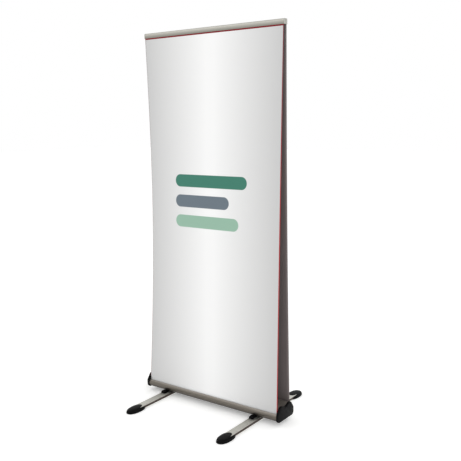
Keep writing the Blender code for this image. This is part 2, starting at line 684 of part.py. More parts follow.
def make_clamp(parts, name, tube_top, tube_radius, inner_radius):
    """Collar with two ears, its cam lever and the lever's pin. The lever hangs down beside the tube."""
    low = tube_top - CLAMP_HEIGHT + CLAMP_GRIP
    high = tube_top + CLAMP_GRIP
    outer = tube_radius + GAP + CLAMP_WALL
    bore, grip, edge = tube_radius + GAP, inner_radius + GAP, CLAMP_EDGE
    profile = [(outer - edge, high), (outer, high - edge), (outer, low + edge), (outer - edge, low)]
    profile += [(bore, low), (bore, tube_top + GAP), (grip, tube_top + GAP), (grip, high)]
    collar = turned(f"{name}_clamp_collar", profile, steps=20)
    pin_x, pin_z = outer + LEVER_PIN_REACH, high - LEVER_PIN_DROP
    ear_low, ear_high = pin_z - EAR_HEIGHT / 2, pin_z + EAR_HEIGHT / 2
    inside = LEVER_THICKNESS / 2 + GAP
    ears = []
    for side in (-1, 1):
        near, far = sorted((side * inside, side * (inside + EAR_THICKNESS)))
        ears.append(box("ear", (outer - EAR_ROOT, near, ear_low), (outer + EAR_REACH, far, ear_high), EAR_EDGE, 1))
    joined(collar, ears)
    reach = inside + EAR_THICKNESS
    hole = LEVER_PIN_RADIUS + GAP
    cut(collar, [rod("pin_hole", hole, (pin_x, -reach - PAST, pin_z), (pin_x, reach + PAST, pin_z), "Y", 16)])
    place(collar, parts, "black_plastic")

    pin = rod(f"{name}_lever_pin", LEVER_PIN_RADIUS, (pin_x, -reach, pin_z), (pin_x, reach, pin_z), "Y", 14)
    place(pin, parts, "steel")

    cam_radius = pin_x - outer - GAP
    half = LEVER_THICKNESS / 2
    cam = rod(f"{name}_lever", cam_radius, (pin_x, -half, pin_z), (pin_x, half, pin_z), "Y", 20)
    arm_low = (pin_x - LEVER_ROOT, -half, pin_z - LEVER_LENGTH)
    joined(cam, [box("arm", arm_low, (pin_x + cam_radius - LEVER_INSET, half, pin_z), LEVER_EDGE)])
    cut(cam, [rod("eye", hole, (pin_x, -half - PAST, pin_z), (pin_x, half + PAST, pin_z), "Y", 16)])
    move_origin(cam, (pin_x, 0, pin_z))
    place(cam, parts, "black_plastic")


def make_head(parts):
    """Plug in the upper tube, a shoulder and the flat tongue that stands up between the rails."""
    plug, shoulder = UPPER_TUBE_RADIUS - TUBE_WALL - GAP, UPPER_TUBE_RADIUS
    seat, top = UPPER_TUBE_TOP + GAP, HEAD_SHOULDER_TOP
    taper = TONGUE_THICKNESS / 2 + HEAD_TAPER_REACH
    profile = [(0, top), (taper, top), (shoulder, top - HEAD_TAPER), (shoulder, seat), (plug, seat)]
    profile += [(plug, seat - HEAD_PLUG_DEPTH), (0, seat - HEAD_PLUG_DEPTH)]
    head = turned("pole_head", profile)
    half, thin = TONGUE_WIDTH / 2, TONGUE_THICKNESS / 2
    tongue = box("tongue", (-half, -thin, seat + TONGUE_ROOT), (half, thin, TONGUE_TOP), TONGUE_EDGE)
    joined(head, [tongue])
    return place(head, parts, "black_plastic")


# ---- top rails ------------------------------------------------------------------------------------
def rail_outline():
    """Section of the front rail: a hollow bar, round on top, with a slot for the film along its outer side."""
    slot_out, slot_in = -RAIL_FRONT + RAIL_WALL, -RAIL_FRONT + RAIL_WALL + RAIL_SLOT
    inner_back = -RAIL_BACK - RAIL_WALL - HOOK_DEPTH_IN_RAIL
    inner_low, inner_high = RAIL_BOTTOM + RAIL_WALL, OVERALL_HEIGHT - RAIL_WALL
    corners = [
        (slot_in, RAIL_BOTTOM, 0.0003),
        (-RAIL_BACK, RAIL_BOTTOM, 0.0012),
        (-RAIL_BACK, OVERALL_HEIGHT, 0.0045),
        (-RAIL_FRONT, OVERALL_HEIGHT, 0.0062),
        (-RAIL_FRONT, RAIL_BOTTOM, 0.0008),
        (slot_out, RAIL_BOTTOM, 0.0002),
        (slot_out, inner_high, 0.0034),
        (inner_back, inner_high, 0.0020),
        (inner_back, inner_low, 0.0008),
        (slot_in, inner_low, 0.0002),
    ]
    return rounded(corners, 3)


def rail_cap_outline():
    """The rail's outer section, closed."""
    return rounded(
        [
            (-RAIL_BACK, RAIL_BOTTOM, 0.0012),
            (-RAIL_BACK, OVERALL_HEIGHT, 0.0045),
            (-RAIL_FRONT, OVERALL_HEIGHT, 0.0062),
            (-RAIL_FRONT, RAIL_BOTTOM, 0.0008),
        ],
        4,
    )


def rail_plug_outline():
    """What a rail cap pushes into the rail, above the film's edge."""
    front = -RAIL_FRONT + RAIL_WALL + GAP
    back = -RAIL_BACK - RAIL_WALL - HOOK_DEPTH_IN_RAIL - GAP
    low, high = FILM_TOP + GAP, OVERALL_HEIGHT - RAIL_WALL - GAP
    return rounded([(back, low, 0.0006), (back, high, 0.0020), (front, high, 0.0034), (front, low, 0.0006)], 2)


def turn_to_rear(obj):
    """Turns a front piece half a turn about Z, into the same piece of the rear side."""
    obj.data.transform(Matrix.Rotation(math.pi, 4, "Z") @ Matrix.Translation(obj.location))
    obj.location = (0, 0, 0)
    return obj


def make_rail(parts, name, rear):
    half = RAIL_LENGTH / 2
    hook_low = TONGUE_TOP + GAP
    hook_x = (-HOOK_WIDTH - HOOK_PLACE, -HOOK_PLACE)
    back = -RAIL_BACK
    rail = extruded(f"rail_{name}", [rail_outline()], -half, half)
    pocket = box(
        "pocket",
        (hook_x[0] - GAP, back - HOOK_DEPTH_IN_RAIL - GAP, hook_low - GAP),
        (hook_x[1] + GAP, back + PAST, hook_low + HOOK_HEIGHT + GAP),
    )
    cut(rail, [pocket])
    low = (hook_x[0], back - HOOK_DEPTH_IN_RAIL, hook_low)
    high = (hook_x[1], TONGUE_THICKNESS / 2, hook_low + HOOK_HEIGHT)
    hook = box(f"rail_hook_{name}", low, high, HOOK_EDGE)
    pieces = [(rail, "rail_metal"), (hook, "black_plastic")]
    for end, sign in (("left", -1), ("right", 1)):
        inner, outer = half + GAP, half + GAP + RAIL_CAP_LENGTH
        start, stop = sorted((sign * inner, sign * outer))
        cap = extruded(f"rail_cap_{name}_{end}", [rail_cap_outline()], start, stop)
        start, stop = sorted((sign * (half - RAIL_PLUG_DEPTH), sign * (inner + RAIL_PLUG_ROOT)))
        joined(cap, [extruded("plug", [rail_plug_outline()], start, stop)])
        pieces.append((cap, "grey_plastic"))
    for obj, material in pieces:
        if rear:
            turn_to_rear(obj)
        place(obj, parts, material)


# ---- feet -----------------------------------------------------------------------------------------
def tip_profile(radius, height):
    """Half section of a foot tip: flat underneath, a steep side and a low dome on top."""
    shoulder = height * TIP_SHOULDER
    points = [(0, height)]
    steps = 5
    for i in range(1, steps + 1):
        angle = math.pi / 2 * i / steps
        points.append((radius * math.sin(angle), shoulder + (height - shoulder) * math.cos(angle)))
    points += [(radius, TIP_EDGE), (radius - TIP_EDGE, 0), (0, 0)]
    return points


def make_tip(parts, name, x, side):
    """Oval tip over one end of a foot bar, whose centre line is at x."""
    radius = FOOT_TIP_WIDTH / 2
    tip = turned(name, tip_profile(radius, FOOT_TIP_HEIGHT), steps=28)
    tip.data.transform(Matrix.Scale(FOOT_TIP_LENGTH / FOOT_TIP_WIDTH, 4, (0, 1, 0)))
    centre = side * (FOOT_LENGTH - FOOT_TIP_LENGTH) / 2
    tip.location = (x, centre, 0)
    wide = FOOT_BAR_WIDTH / 2 + GAP
    inner = side * (FOOT_LENGTH / 2 - FOOT_TIP_LENGTH - PAST)
    deep = side * (FOOT_LENGTH / 2 - FOOT_TIP_LENGTH + TIP_GRIP + GAP)
    near, far = sorted((inner, deep))
    cut(tip, [box("mouth", (x - wide, near, FOOT_BAR_CLEARANCE - GAP), (x + wide, far, FOOT_BAR_TOP + GAP))])
    return place(tip, parts, "black_plastic")


def make_foot(parts, name, x, y):
    """A bar across the cassette, its two tips, and the screw, washer and nut that it turns on."""
    end = FOOT_LENGTH / 2 - FOOT_TIP_LENGTH + TIP_GRIP
    wide = FOOT_BAR_WIDTH / 2
    low, high = (x - wide, -end, FOOT_BAR_CLEARANCE), (x + wide, end, FOOT_BAR_TOP)
    bar = box(f"foot_bar_{name}", low, high, FOOT_BAR_EDGE)
    head_top = FOOT_BAR_CLEARANCE + FOOT_SCREW_HEAD_HEIGHT + RUNNING_GAP
    recess = FOOT_SCREW_HEAD_RADIUS + RUNNING_GAP
    shaft = FOOT_SCREW_RADIUS + GAP
    bore = rod("bore", shaft, (x, y, 0), (x, y, FOOT_BAR_TOP + PAST), steps=16)
    counterbore = rod("counterbore", recess, (x, y, 0), (x, y, head_top + GAP))
    cut(bar, [bore, counterbore])
    move_origin(bar, (x, y, FOOT_BAR_CLEARANCE))
    place(bar, parts, "foot_metal")
    make_tip(parts, f"foot_tip_{name}_front", x, -1)
    make_tip(parts, f"foot_tip_{name}_rear", x, 1)

    inside = CASSETTE_BOTTOM + CASSETTE_WALL
    ring = FOOT_SCREW_RADIUS + GAP
    washer = tube(f"foot_washer_{name}", FOOT_WASHER_RADIUS, ring, WASHER_BOTTOM, WASHER_TOP)
    washer.location = (x, y, washer.location.z)
    place(washer, parts, "black_plastic")
    nut_low = inside + GAP
    nut_high = nut_low + FOOT_NUT_HEIGHT
    nut = rod(f"foot_nut_{name}", FOOT_NUT_RADIUS, (x, y, nut_low), (x, y, nut_high), steps=6)
    cut(nut, [rod("thread", ring, (x, y, nut_low - PAST), (x, y, nut_high + PAST), steps=16)])
    place(nut, parts, "steel")
    low = head_top - FOOT_SCREW_HEAD_HEIGHT
    shank, head = FOOT_SCREW_RADIUS, FOOT_SCREW_HEAD_RADIUS
    end, edge = nut_high + FOOT_SCREW_END, FOOT_SCREW_EDGE
    profile = [(0, end), (shank, end), (shank, head_top)]
    profile += [(head, head_top), (head, low + edge), (head - edge, low), (0, low)]
    place(turned(f"foot_screw_{name}", profile, (x, y, 0), steps=20), parts, "steel")


def make_clip(parts, name, x):
    """Detent clip on the cassette's front lower edge; it reaches over the bar and stays clear of it."""
    middle = x - CLIP_OFFSET
    low = FOOT_BAR_TOP + GAP + CLIP_LIFT
    front = -HALF_DEPTH - CLIP_REACH
    back = front + CLIP_LENGTH
    half = CLIP_WIDTH / 2
    clip_high = (middle + half, back, WASHER_TOP)
    clip = box(f"foot_clip_{name}", (middle - half, front, low), clip_high, CLIP_EDGE)
    nose_high = (middle + half, -HALF_DEPTH + CLIP_NOSE_BACK, CASSETTE_BOTTOM + CLIP_RISE)
    nose = box("nose", (middle - half, front, low + CLIP_NOSE_LIFT), nose_high, CLIP_NOSE_EDGE, 3)
    joined(clip, [nose])
    return place(clip, parts, "black_plastic")


# ---- the whole stand ------------------------------------------------------------------------------
def build():
    clear_scene()
    parts = new_collection("double_sided_banner_stand")
    make_housing(parts)
    for name, side in (("end_cap_left", -1), ("end_cap_right", 1)):
        make_end_cap(parts, name, side)
    for name, side, height in cap_screw_places():
        make_cap_screw(parts, name, side, height)
    for name, side in (("front", -1), ("rear", 1)):
        make_roller(parts, name, side)
        make_banner(parts, f"banner_{name}", side)
        make_rail(parts, name, side > 0)
    make_socket(parts)
    make_tubes(parts)
    make_clamp(parts, "lower", LOWER_TUBE_TOP, LOWER_TUBE_RADIUS, MIDDLE_TUBE_RADIUS)
    make_clamp(parts, "middle", MIDDLE_TUBE_TOP, MIDDLE_TUBE_RADIUS, UPPER_TUBE_RADIUS)
    make_head(parts)
    for name, x, y in foot_pivots():
        make_foot(parts, name, x, y)
        make_clip(parts, name, x)


build()
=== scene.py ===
"""Finished look of a double-sided roll-up banner stand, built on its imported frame.

Units are metres, +Z is up and the front banner faces -Y. Sheets, top rails and feet are built here as fine
meshes in the places of their plain solids; every other piece keeps its solid and gets its finish here.
"""

import logging
import math
from dataclasses import dataclass, field
from enum import Enum
from typing import Callable, Iterable, Sequence, Union

import bmesh
import bpy
from mathutils import Matrix, Vector, noise
from mathutils.geometry import tessellate_polygon


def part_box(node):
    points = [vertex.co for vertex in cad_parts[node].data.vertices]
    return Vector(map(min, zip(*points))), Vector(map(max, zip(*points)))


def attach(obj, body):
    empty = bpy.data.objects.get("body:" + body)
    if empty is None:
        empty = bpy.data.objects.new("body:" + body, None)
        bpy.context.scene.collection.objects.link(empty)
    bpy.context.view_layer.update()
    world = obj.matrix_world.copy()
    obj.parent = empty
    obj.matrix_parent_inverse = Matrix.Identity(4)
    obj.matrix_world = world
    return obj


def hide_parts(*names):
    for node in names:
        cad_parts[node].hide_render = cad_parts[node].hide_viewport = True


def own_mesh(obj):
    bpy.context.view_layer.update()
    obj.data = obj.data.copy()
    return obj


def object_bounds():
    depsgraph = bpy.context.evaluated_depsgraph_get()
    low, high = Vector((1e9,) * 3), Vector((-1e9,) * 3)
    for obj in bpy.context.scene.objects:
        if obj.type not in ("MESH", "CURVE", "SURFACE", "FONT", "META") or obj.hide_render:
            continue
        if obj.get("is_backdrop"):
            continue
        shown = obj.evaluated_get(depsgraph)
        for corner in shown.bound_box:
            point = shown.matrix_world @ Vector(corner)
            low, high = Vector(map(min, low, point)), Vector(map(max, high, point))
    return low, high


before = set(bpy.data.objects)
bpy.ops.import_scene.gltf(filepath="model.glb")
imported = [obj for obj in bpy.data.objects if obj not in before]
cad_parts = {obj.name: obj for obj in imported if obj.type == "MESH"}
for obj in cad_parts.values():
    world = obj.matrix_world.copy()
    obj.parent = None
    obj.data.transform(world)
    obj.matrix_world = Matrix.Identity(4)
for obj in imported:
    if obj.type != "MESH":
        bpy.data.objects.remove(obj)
CAD_LOW, CAD_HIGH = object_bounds()

LOG = logging.getLogger("banner_stand")

Colour = tuple[float, float, float, float]
Corner = tuple[float, float, float]
Socket = bpy.types.NodeSocket
Sockets = bpy.types.bpy_prop_collection
Value = Union[Socket, float, Sequence[float]]

GAP = 0.0003  # between two pieces that touch
WELD = 0.00001  # corners nearer than this are one
STRAIGHT = 0.02  # an outline that turns less than this has no corner there
DRILL_SIDES = 48
SIDEWAYS = 0.8  # a face is a bar's side when its normal has at least this much of X
AT_SIDE = 0.001  # and when it is nearer than this to the bar's outer side
SMOOTH_ANGLE = math.radians(35)
WHITE: Colour = (1.0, 1.0, 1.0, 1.0)
EVEN: Corner = (1.0, 1.0, 1.0)  # grain that is the same along every axis


def srgb(red: float, green: float, blue: float) -> Colour:
    """Linear colour of three 0 to 255 display values.

    Args:
        red: Red, 0 to 255.
        green: Green, 0 to 255.
        blue: Blue, 0 to 255.

    Returns:
        The same colour as a shader takes it.
    """

    def linear(value: float) -> float:
        """Linear share of one display value."""
        share = value / 255
        return share / 12.92 if share <= 0.04045 else ((share + 0.055) / 1.055) ** 2.4

    return (linear(red), linear(green), linear(blue), 1.0)


class Side(Enum):
    """The stand's two faces, with the sign of Y that each lies on."""

    FRONT = -1
    REAR = 1

    @property
    def label(self) -> str:
        """The word that piece names use for this side."""
        return self.name.lower()


class Hand(Enum):
    """The stand's two ends, with the sign of X that each lies on."""

    LEFT = -1
    RIGHT = 1

    @property
    def label(self) -> str:
        """The word that piece names use for this end."""
        return self.name.lower()


class Axis(Enum):
    """The direction that a section is run along."""

    X = 0
    Y = 1


# ---- shader graphs --------------------------------------------------------------------------------
class Graph:
    """Short ways to add nodes and links to one node tree."""

    def __init__(self, tree: bpy.types.NodeTree) -> None:
        """Keeps the tree that the nodes go into."""
        self.tree = tree

    def add(self, kind: str, inputs: dict | None = None, **settings: object) -> bpy.types.Node:
        """Adds a node.

        Args:
            kind: Blender's type name of the node.
            inputs: What each input takes, by its name or number: a socket is linked, a value is set.
            settings: The node's own properties.

        Returns:
            The new node.
        """
        node = self.tree.nodes.new(kind)
        for name, value in settings.items():
            setattr(node, name, value)
        for key, value in (inputs or {}).items():
            self.plug(node.inputs[key], value)
        return node

    def plug(self, socket: Socket, value: Value) -> None:
        """Links a socket into an input, or sets the input's own value."""
        if isinstance(value, bpy.types.NodeSocket):
            self.tree.links.new(value, socket)
        else:
            socket.default_value = value

    def math(self, operation: str, first: Value, second: Value = 0.0) -> Socket:
        """One arithmetic step on numbers."""
        return self.add("ShaderNodeMath", {0: first, 1: second}, operation=operation).outputs[0]

    def vector(self, operation: str, first: Value, second: Value = (0, 0, 0)) -> bpy.types.Node:
        """One arithmetic step on vectors, as the node, because some give a number."""
        return self.add("ShaderNodeVectorMath", {0: first, 1: second}, operation=operation)

    def remap(self, value: Value, low: float, high: float, least: float = 0.0, most: float = 1.0) -> Socket:
        """A value's place between low and high, smoothed, as a value from least to most."""
        inputs = {"Value": value, "From Min": low, "From Max": high, "To Min": least, "To Max": most}
        return self.add("ShaderNodeMapRange", inputs, interpolation_type="SMOOTHSTEP").outputs["Result"]

    def mix(self, share: Value, first: Value, second: Value, blend: str = "MIX") -> Socket:
        """Two colours mixed by a share of the second."""
        node = self.add("ShaderNodeMix", {0: share, 6: first, 7: second}, data_type="RGBA", blend_type=blend)
        return node.outputs[2]

    def ramp(self, share: Value, stops: Sequence[tuple[float, Colour]]) -> Socket:
        """A colour picked along a ramp.

        Args:
            share: Place along the ramp, 0 to 1.
            stops: Place and colour of each stop, rising.

        Returns:
            The colour.
        """
        node = self.add("ShaderNodeValToRGB", {0: share})
        elements = node.color_ramp.elements
        while len(elements) < len(stops):
            elements.new(0.5)
        for element, (place, colour) in zip(elements, stops):
            element.position = place
            element.color = colour
        return node.outputs["Color"]

    def group(self, tree: bpy.types.NodeTree, inputs: dict) -> bpy.types.Node:
        """Places a shared node group with its own values."""
        return self.add("ShaderNodeGroup", inputs, node_tree=tree)


KINDS = {"value": "NodeSocketFloat", "vector": "NodeSocketVector", "colour": "NodeSocketColor"}


def shared_group(
    name: str,
    inputs: Sequence[tuple[str, str]],
    outputs: Sequence[tuple[str, str]],
    build: Callable[[Graph, Sockets, Sockets], None],
) -> bpy.types.NodeTree:
    """A node group, built the first time that it is asked for.

    Args:
        name: The group's name.
        inputs: Name and kind of each input.
        outputs: Name and kind of each output.
        build: Fills the group, from its graph, its inputs' sockets and its outputs' sockets.

    Returns:
        The group's node tree.
    """
    tree = bpy.data.node_groups.get(name)
    if tree:
        return tree
    tree = bpy.data.node_groups.new(name, "ShaderNodeTree")
    for label, kind in inputs:
        tree.interface.new_socket(label, in_out="INPUT", socket_type=KINDS[kind])
    for label, kind in outputs:
        tree.interface.new_socket(label, in_out="OUTPUT", socket_type=KINDS[kind])
    graph = Graph(tree)
    start, end = graph.add("NodeGroupInput"), graph.add("NodeGroupOutput")
    build(graph, start.outputs, end.inputs)
    return tree


class Effects:
    """Surface effects that several finishes share, each as one node group."""

    @staticmethod
    def grain() -> bpy.types.NodeTree:
        """Streaks or speckle: noise stretched by its own amount along each axis."""

        def build(graph: Graph, start: Sockets, end: Sockets) -> None:
            """Fine noise, with a slower noise that makes it uneven.

            Args:
                graph: The group's graph.
                start: The group's inputs.
                end: The group's outputs.
            """
            stretched = graph.vector("MULTIPLY", start["Vector"], start["Stretch"]).outputs[0]
            inputs = {"Vector": stretched, "Scale": start["Scale"], "Detail": 4.0, "Roughness": 0.6}
            fine = graph.add("ShaderNodeTexNoise", inputs).outputs["Fac"]
            slow = graph.add("ShaderNodeTexNoise", {"Vector": start["Vector"], "Scale": 9.0}).outputs["Fac"]
            patch = graph.remap(slow, 0.35, 0.65, 0.6, 1.0)
            mask = graph.math("MULTIPLY", graph.remap(fine, 0.3, 0.7), patch)
            graph.plug(end["Mask"], mask)
            graph.plug(end["Height"], fine)

        inputs = [("Vector", "vector"), ("Stretch", "vector"), ("Scale", "value")]
        return shared_group("Grain", inputs, [("Mask", "value"), ("Height", "value")], build)

    @staticmethod
    def smudges() -> bpy.types.NodeTree:
        """Roughness that wanders a little, as handling leaves it."""

        def build(graph: Graph, start: Sockets, end: Sockets) -> None:
            """Two sizes of cloud, mixed and added to the roughness.

            Args:
                graph: The group's graph.
                start: The group's inputs.
                end: The group's outputs.
            """
            place = start["Vector"]
            large = graph.add("ShaderNodeTexNoise", {"Vector": place, "Scale": 6.0, "Detail": 3.0})
            small = graph.add("ShaderNodeTexNoise", {"Vector": place, "Scale": 55.0, "Detail": 2.0})
            cloud = graph.math("MULTIPLY", large.outputs["Fac"], small.outputs["Fac"])
            centred = graph.math("SUBTRACT", graph.math("MULTIPLY", cloud, 4.0), 1.0)
            shift = graph.math("MULTIPLY", centred, start["Strength"])
            graph.plug(end["Roughness"], graph.math("ADD", shift, start["Roughness"]))

        inputs = [("Vector", "vector"), ("Roughness", "value"), ("Strength", "value")]
        return shared_group("Smudges", inputs, [("Roughness", "value")], build)

    @staticmethod
    def edge_wear() -> bpy.types.NodeTree:
        """A colour that brightens on worn corners, broken up by noise."""

        def build(graph: Graph, start: Sockets, end: Sockets) -> None:
            """Corners are where the surface is most pointed.

            Args:
                graph: The group's graph.
                start: The group's inputs.
                end: The group's outputs.
            """
            pointed = graph.add("ShaderNodeNewGeometry").outputs["Pointiness"]
            corner = graph.remap(pointed, 0.56, 0.66)
            inputs = {"Vector": start["Vector"], "Scale": 70.0, "Detail": 4.0}
            broken = graph.add("ShaderNodeTexNoise", inputs)
            worn = graph.math("MULTIPLY", corner, graph.remap(broken.outputs["Fac"], 0.4, 0.6))
            share = graph.math("MULTIPLY", worn, start["Amount"])
            graph.plug(end["Color"], graph.mix(share, start["Clean"], start["Worn"]))

        inputs = [("Vector", "vector"), ("Clean", "colour"), ("Worn", "colour"), ("Amount", "value")]
        return shared_group("Edge wear", inputs, [("Color", "colour")], build)

    @staticmethod
    def bar() -> bpy.types.NodeTree:
        """Distance to a round-ended bar, less than 0 inside it."""

        def build(graph: Graph, start: Sockets, end: Sockets) -> None:
            """Distance to the nearest point between the bar's two ends.

            Args:
                graph: The group's graph.
                start: The group's inputs.
                end: The group's outputs.
            """
            offset = graph.vector("SUBTRACT", start["Vector"], start["Start"]).outputs[0]
            run = graph.vector("SUBTRACT", start["End"], start["Start"]).outputs[0]
            along = graph.vector("DOT_PRODUCT", offset, run).outputs["Value"]
            whole = graph.vector("DOT_PRODUCT", run, run).outputs["Value"]
            share = graph.add("ShaderNodeMath", {0: along, 1: whole}, operation="DIVIDE", use_clamp=True)
            scaled = {0: run, "Scale": share.outputs[0]}
            nearest = graph.add("ShaderNodeVectorMath", scaled, operation="SCALE")
            away = graph.vector("DISTANCE", offset, nearest.outputs[0]).outputs["Value"]
            graph.plug(end["Distance"], graph.math("SUBTRACT", away, start["Radius"]))

        inputs = [("Vector", "vector"), ("Start", "vector"), ("End", "vector"), ("Radius", "value")]
        return shared_group("Round-ended bar", inputs, [("Distance", "value")], build)


# ---- finishes -------------------------------------------------------------------------------------
def new_material(name: str) -> tuple[bpy.types.Material, Graph, bpy.types.Node]:
    """An empty node material.

    Args:
        name: The material's name.

    Returns:
        The material, its graph and its Principled shader.
    """
    material = bpy.data.materials.new(name)
    material.use_nodes = True
    return material, Graph(material.node_tree), material.node_tree.nodes["Principled BSDF"]


@dataclass(frozen=True)
class Finish:
    """A surface finish. Each kind fills its own shader.

    Attributes:
        name: The material's name.
    """

    name: str

    def material(self) -> bpy.types.Material:
        """The finish as a material, made once."""
        made = bpy.data.materials.get(self.name)
        if made:
            return made
        made, graph, shader = new_material(self.name)
        self.fill(graph, shader)
        return made

    def fill(self, graph: Graph, shader: bpy.types.Node) -> None:
        """Adds this finish's own nodes.

        Args:
            graph: The material's graph.
            shader: The Principled shader.
        """
        raise NotImplementedError

    @staticmethod
    def grain(graph: Graph, place: Socket, scale: float, stretch: Corner = EVEN) -> bpy.types.Node:
        """Streaks or speckle.

        Args:
            graph: The material's graph.
            place: Where on the piece.
            scale: How fine the grain is.
            stretch: How much it is pressed together along X, Y and Z.

        Returns:
            The node, with its mask and its height.
        """
        return graph.group(Effects.grain(), {"Vector": place, "Stretch": stretch, "Scale": scale})

    @staticmethod
    def worn(graph: Graph, place: Socket, clean: Socket, rubbed: Colour, amount: float) -> Socket:
        """A colour with rubbed corners.

        Args:
            graph: The material's graph.
            place: Where on the piece.
            clean: Colour away from the corners.
            rubbed: Colour of a corner that is fully rubbed.
            amount: Share of the rubbed colour.

        Returns:
            The colour.
        """
        inputs = {"Vector": place, "Clean": clean, "Worn": rubbed, "Amount": amount}
        return graph.group(Effects.edge_wear(), inputs).outputs["Color"]

    @staticmethod
    def roughen(
        graph: Graph, shader: bpy.types.Node, place: Socket, roughness: float, strength: float
    ) -> None:
        """Gives the shader a roughness that wanders.

        Args:
            graph: The material's graph.
            shader: The Principled shader.
            place: Where on the piece.
            roughness: How rough it is on average.
            strength: How far it wanders.
        """
        inputs = {"Vector": place, "Roughness": roughness, "Strength": strength}
        graph.plug(shader.inputs["Roughness"], graph.group(Effects.smudges(), inputs).outputs["Roughness"])

    @staticmethod
    def relief(graph: Graph, shader: bpy.types.Node, height: Socket, depth: float, strength: float) -> None:
        """Gives the shader a fine bump.

        Args:
            graph: The material's graph.
            shader: The Principled shader.
            height: The bump's height.
            depth: Its depth in metres.
            strength: How much of it shows.
        """
        inputs = {"Height": height, "Distance": depth, "Strength": strength}
        graph.plug(shader.inputs["Normal"], graph.add("ShaderNodeBump", inputs).outputs[0])


@dataclass(frozen=True)
class Metal(Finish):
    """A metal surface with drawn or speckled grain.

    Attributes:
        tint: Colour of the clean metal.
        streak: Share of the brightness that the grain's darker lines keep.
        roughness: How rough the surface is on average.
        metallic: How much of it shines as metal.
        stretch: How much the grain is pressed together along X, Y and Z.
        scale: How fine the grain is.
        bump: Depth of the grain in metres.
        heights: Heights, rising, and the metal's colour at each: painted shade that darkens a section
            downwards, and on the cassette a painted highlight along its lip.
        wear: Share of the brighter colour that worn corners take.
        worn_gain: How much brighter a worn corner is than the clean metal.
        smudge: How far the roughness wanders.
    """

    tint: Colour
    streak: float = 0.90
    roughness: float = 0.35
    metallic: float = 0.9
    stretch: Corner = (0.04, 30.0, 30.0)
    scale: float = 30.0
    bump: float = 0.00001
    heights: tuple[tuple[float, Colour], ...] = ()
    wear: float = 0.4
    worn_gain: float = 1.5
    smudge: float = 0.05

    def fill(self, graph: Graph, shader: bpy.types.Node) -> None:
        """Adds the metal's colour, shine and grain.

        Args:
            graph: The material's graph.
            shader: The Principled shader.
        """
        place = graph.add("ShaderNodeTexCoord").outputs["Object"]
        grain = self.grain(graph, place, self.scale, self.stretch)
        darker = (self.streak, self.streak, self.streak, 1.0)
        colour = graph.mix(grain.outputs["Mask"], WHITE, darker)
        colour = graph.mix(1.0, self.shaded(graph, place), colour, "MULTIPLY")
        bright = tuple(min(1.0, part * self.worn_gain) for part in self.tint[:3]) + (1.0,)
        graph.plug(shader.inputs["Base Color"], self.worn(graph, place, colour, bright, self.wear))
        self.roughen(graph, shader, place, self.roughness, self.smudge)
        shader.inputs["Metallic"].default_value = self.metallic
        self.relief(graph, shader, grain.outputs["Height"], self.bump, strength=0.6)

    def shaded(self, graph: Graph, place: Socket) -> Value:
        """The metal's colour at a place: one tint, or the painted shade and highlight that its height gives.

        Args:
            graph: The material's graph.
            place: Where on the piece.

        Returns:
            The colour.
        """
        if not self.heights:
            return self.tint
        low, high = self.heights[0][0], self.heights[-1][0]
        height = graph.add("ShaderNodeSeparateXYZ", {0: place}).outputs["Z"]
        share = graph.math("DIVIDE", graph.math("SUBTRACT", height, low), high - low)
        return graph.ramp(share, [((at - low) / (high - low), colour) for at, colour in self.heights])


@dataclass(frozen=True)
class Plastic(Finish):
    """A moulded plastic with a fine spark-eroded texture.

    Attributes:
        tint: Colour of the plastic.
        scuff: Colour of rubbed corners and dust.
        roughness: How rough the surface is on average.
        scale: How fine the texture is.
        bump: Depth of the texture in metres.
        dust: Share of the scuff colour that the texture's pits hold.
        gloss: Strength of its reflection.
        wear: Share of the scuff colour that rubbed corners take.
        smudge: How far the roughness wanders.
    """

    tint: Colour
    scuff: Colour
    roughness: float = 0.42
    scale: float = 900.0
    bump: float = 0.00004
    dust: float = 0.03
    gloss: float = 0.5
    wear: float = 0.15
    smudge: float = 0.16

    def fill(self, graph: Graph, shader: bpy.types.Node) -> None:
        """Adds the plastic's colour, gloss and texture.

        Args:
            graph: The material's graph.
            shader: The Principled shader.
        """
        place = graph.add("ShaderNodeTexCoord").outputs["Object"]
        grain = self.grain(graph, place, self.scale)
        colour = graph.mix(graph.math("MULTIPLY", grain.outputs["Mask"], self.dust), self.tint, self.scuff)
        graph.plug(shader.inputs["Base Color"], self.worn(graph, place, colour, self.scuff, self.wear))
        self.roughen(graph, shader, place, self.roughness, self.smudge)
        shader.inputs["Specular IOR Level"].default_value = self.gloss
        self.relief(graph, shader, grain.outputs["Height"], self.bump, strength=0.5)


@dataclass(frozen=True)
class Bar:
    """One plain round-ended bar of ink.

    Attributes:
        left: Where it begins, from the sheet's middle line.
        right: Where it ends.
        height: Its height above the sheet's foot.
        ink: Its colour.
    """

    left: float
    right: float
    height: float
    ink: Colour


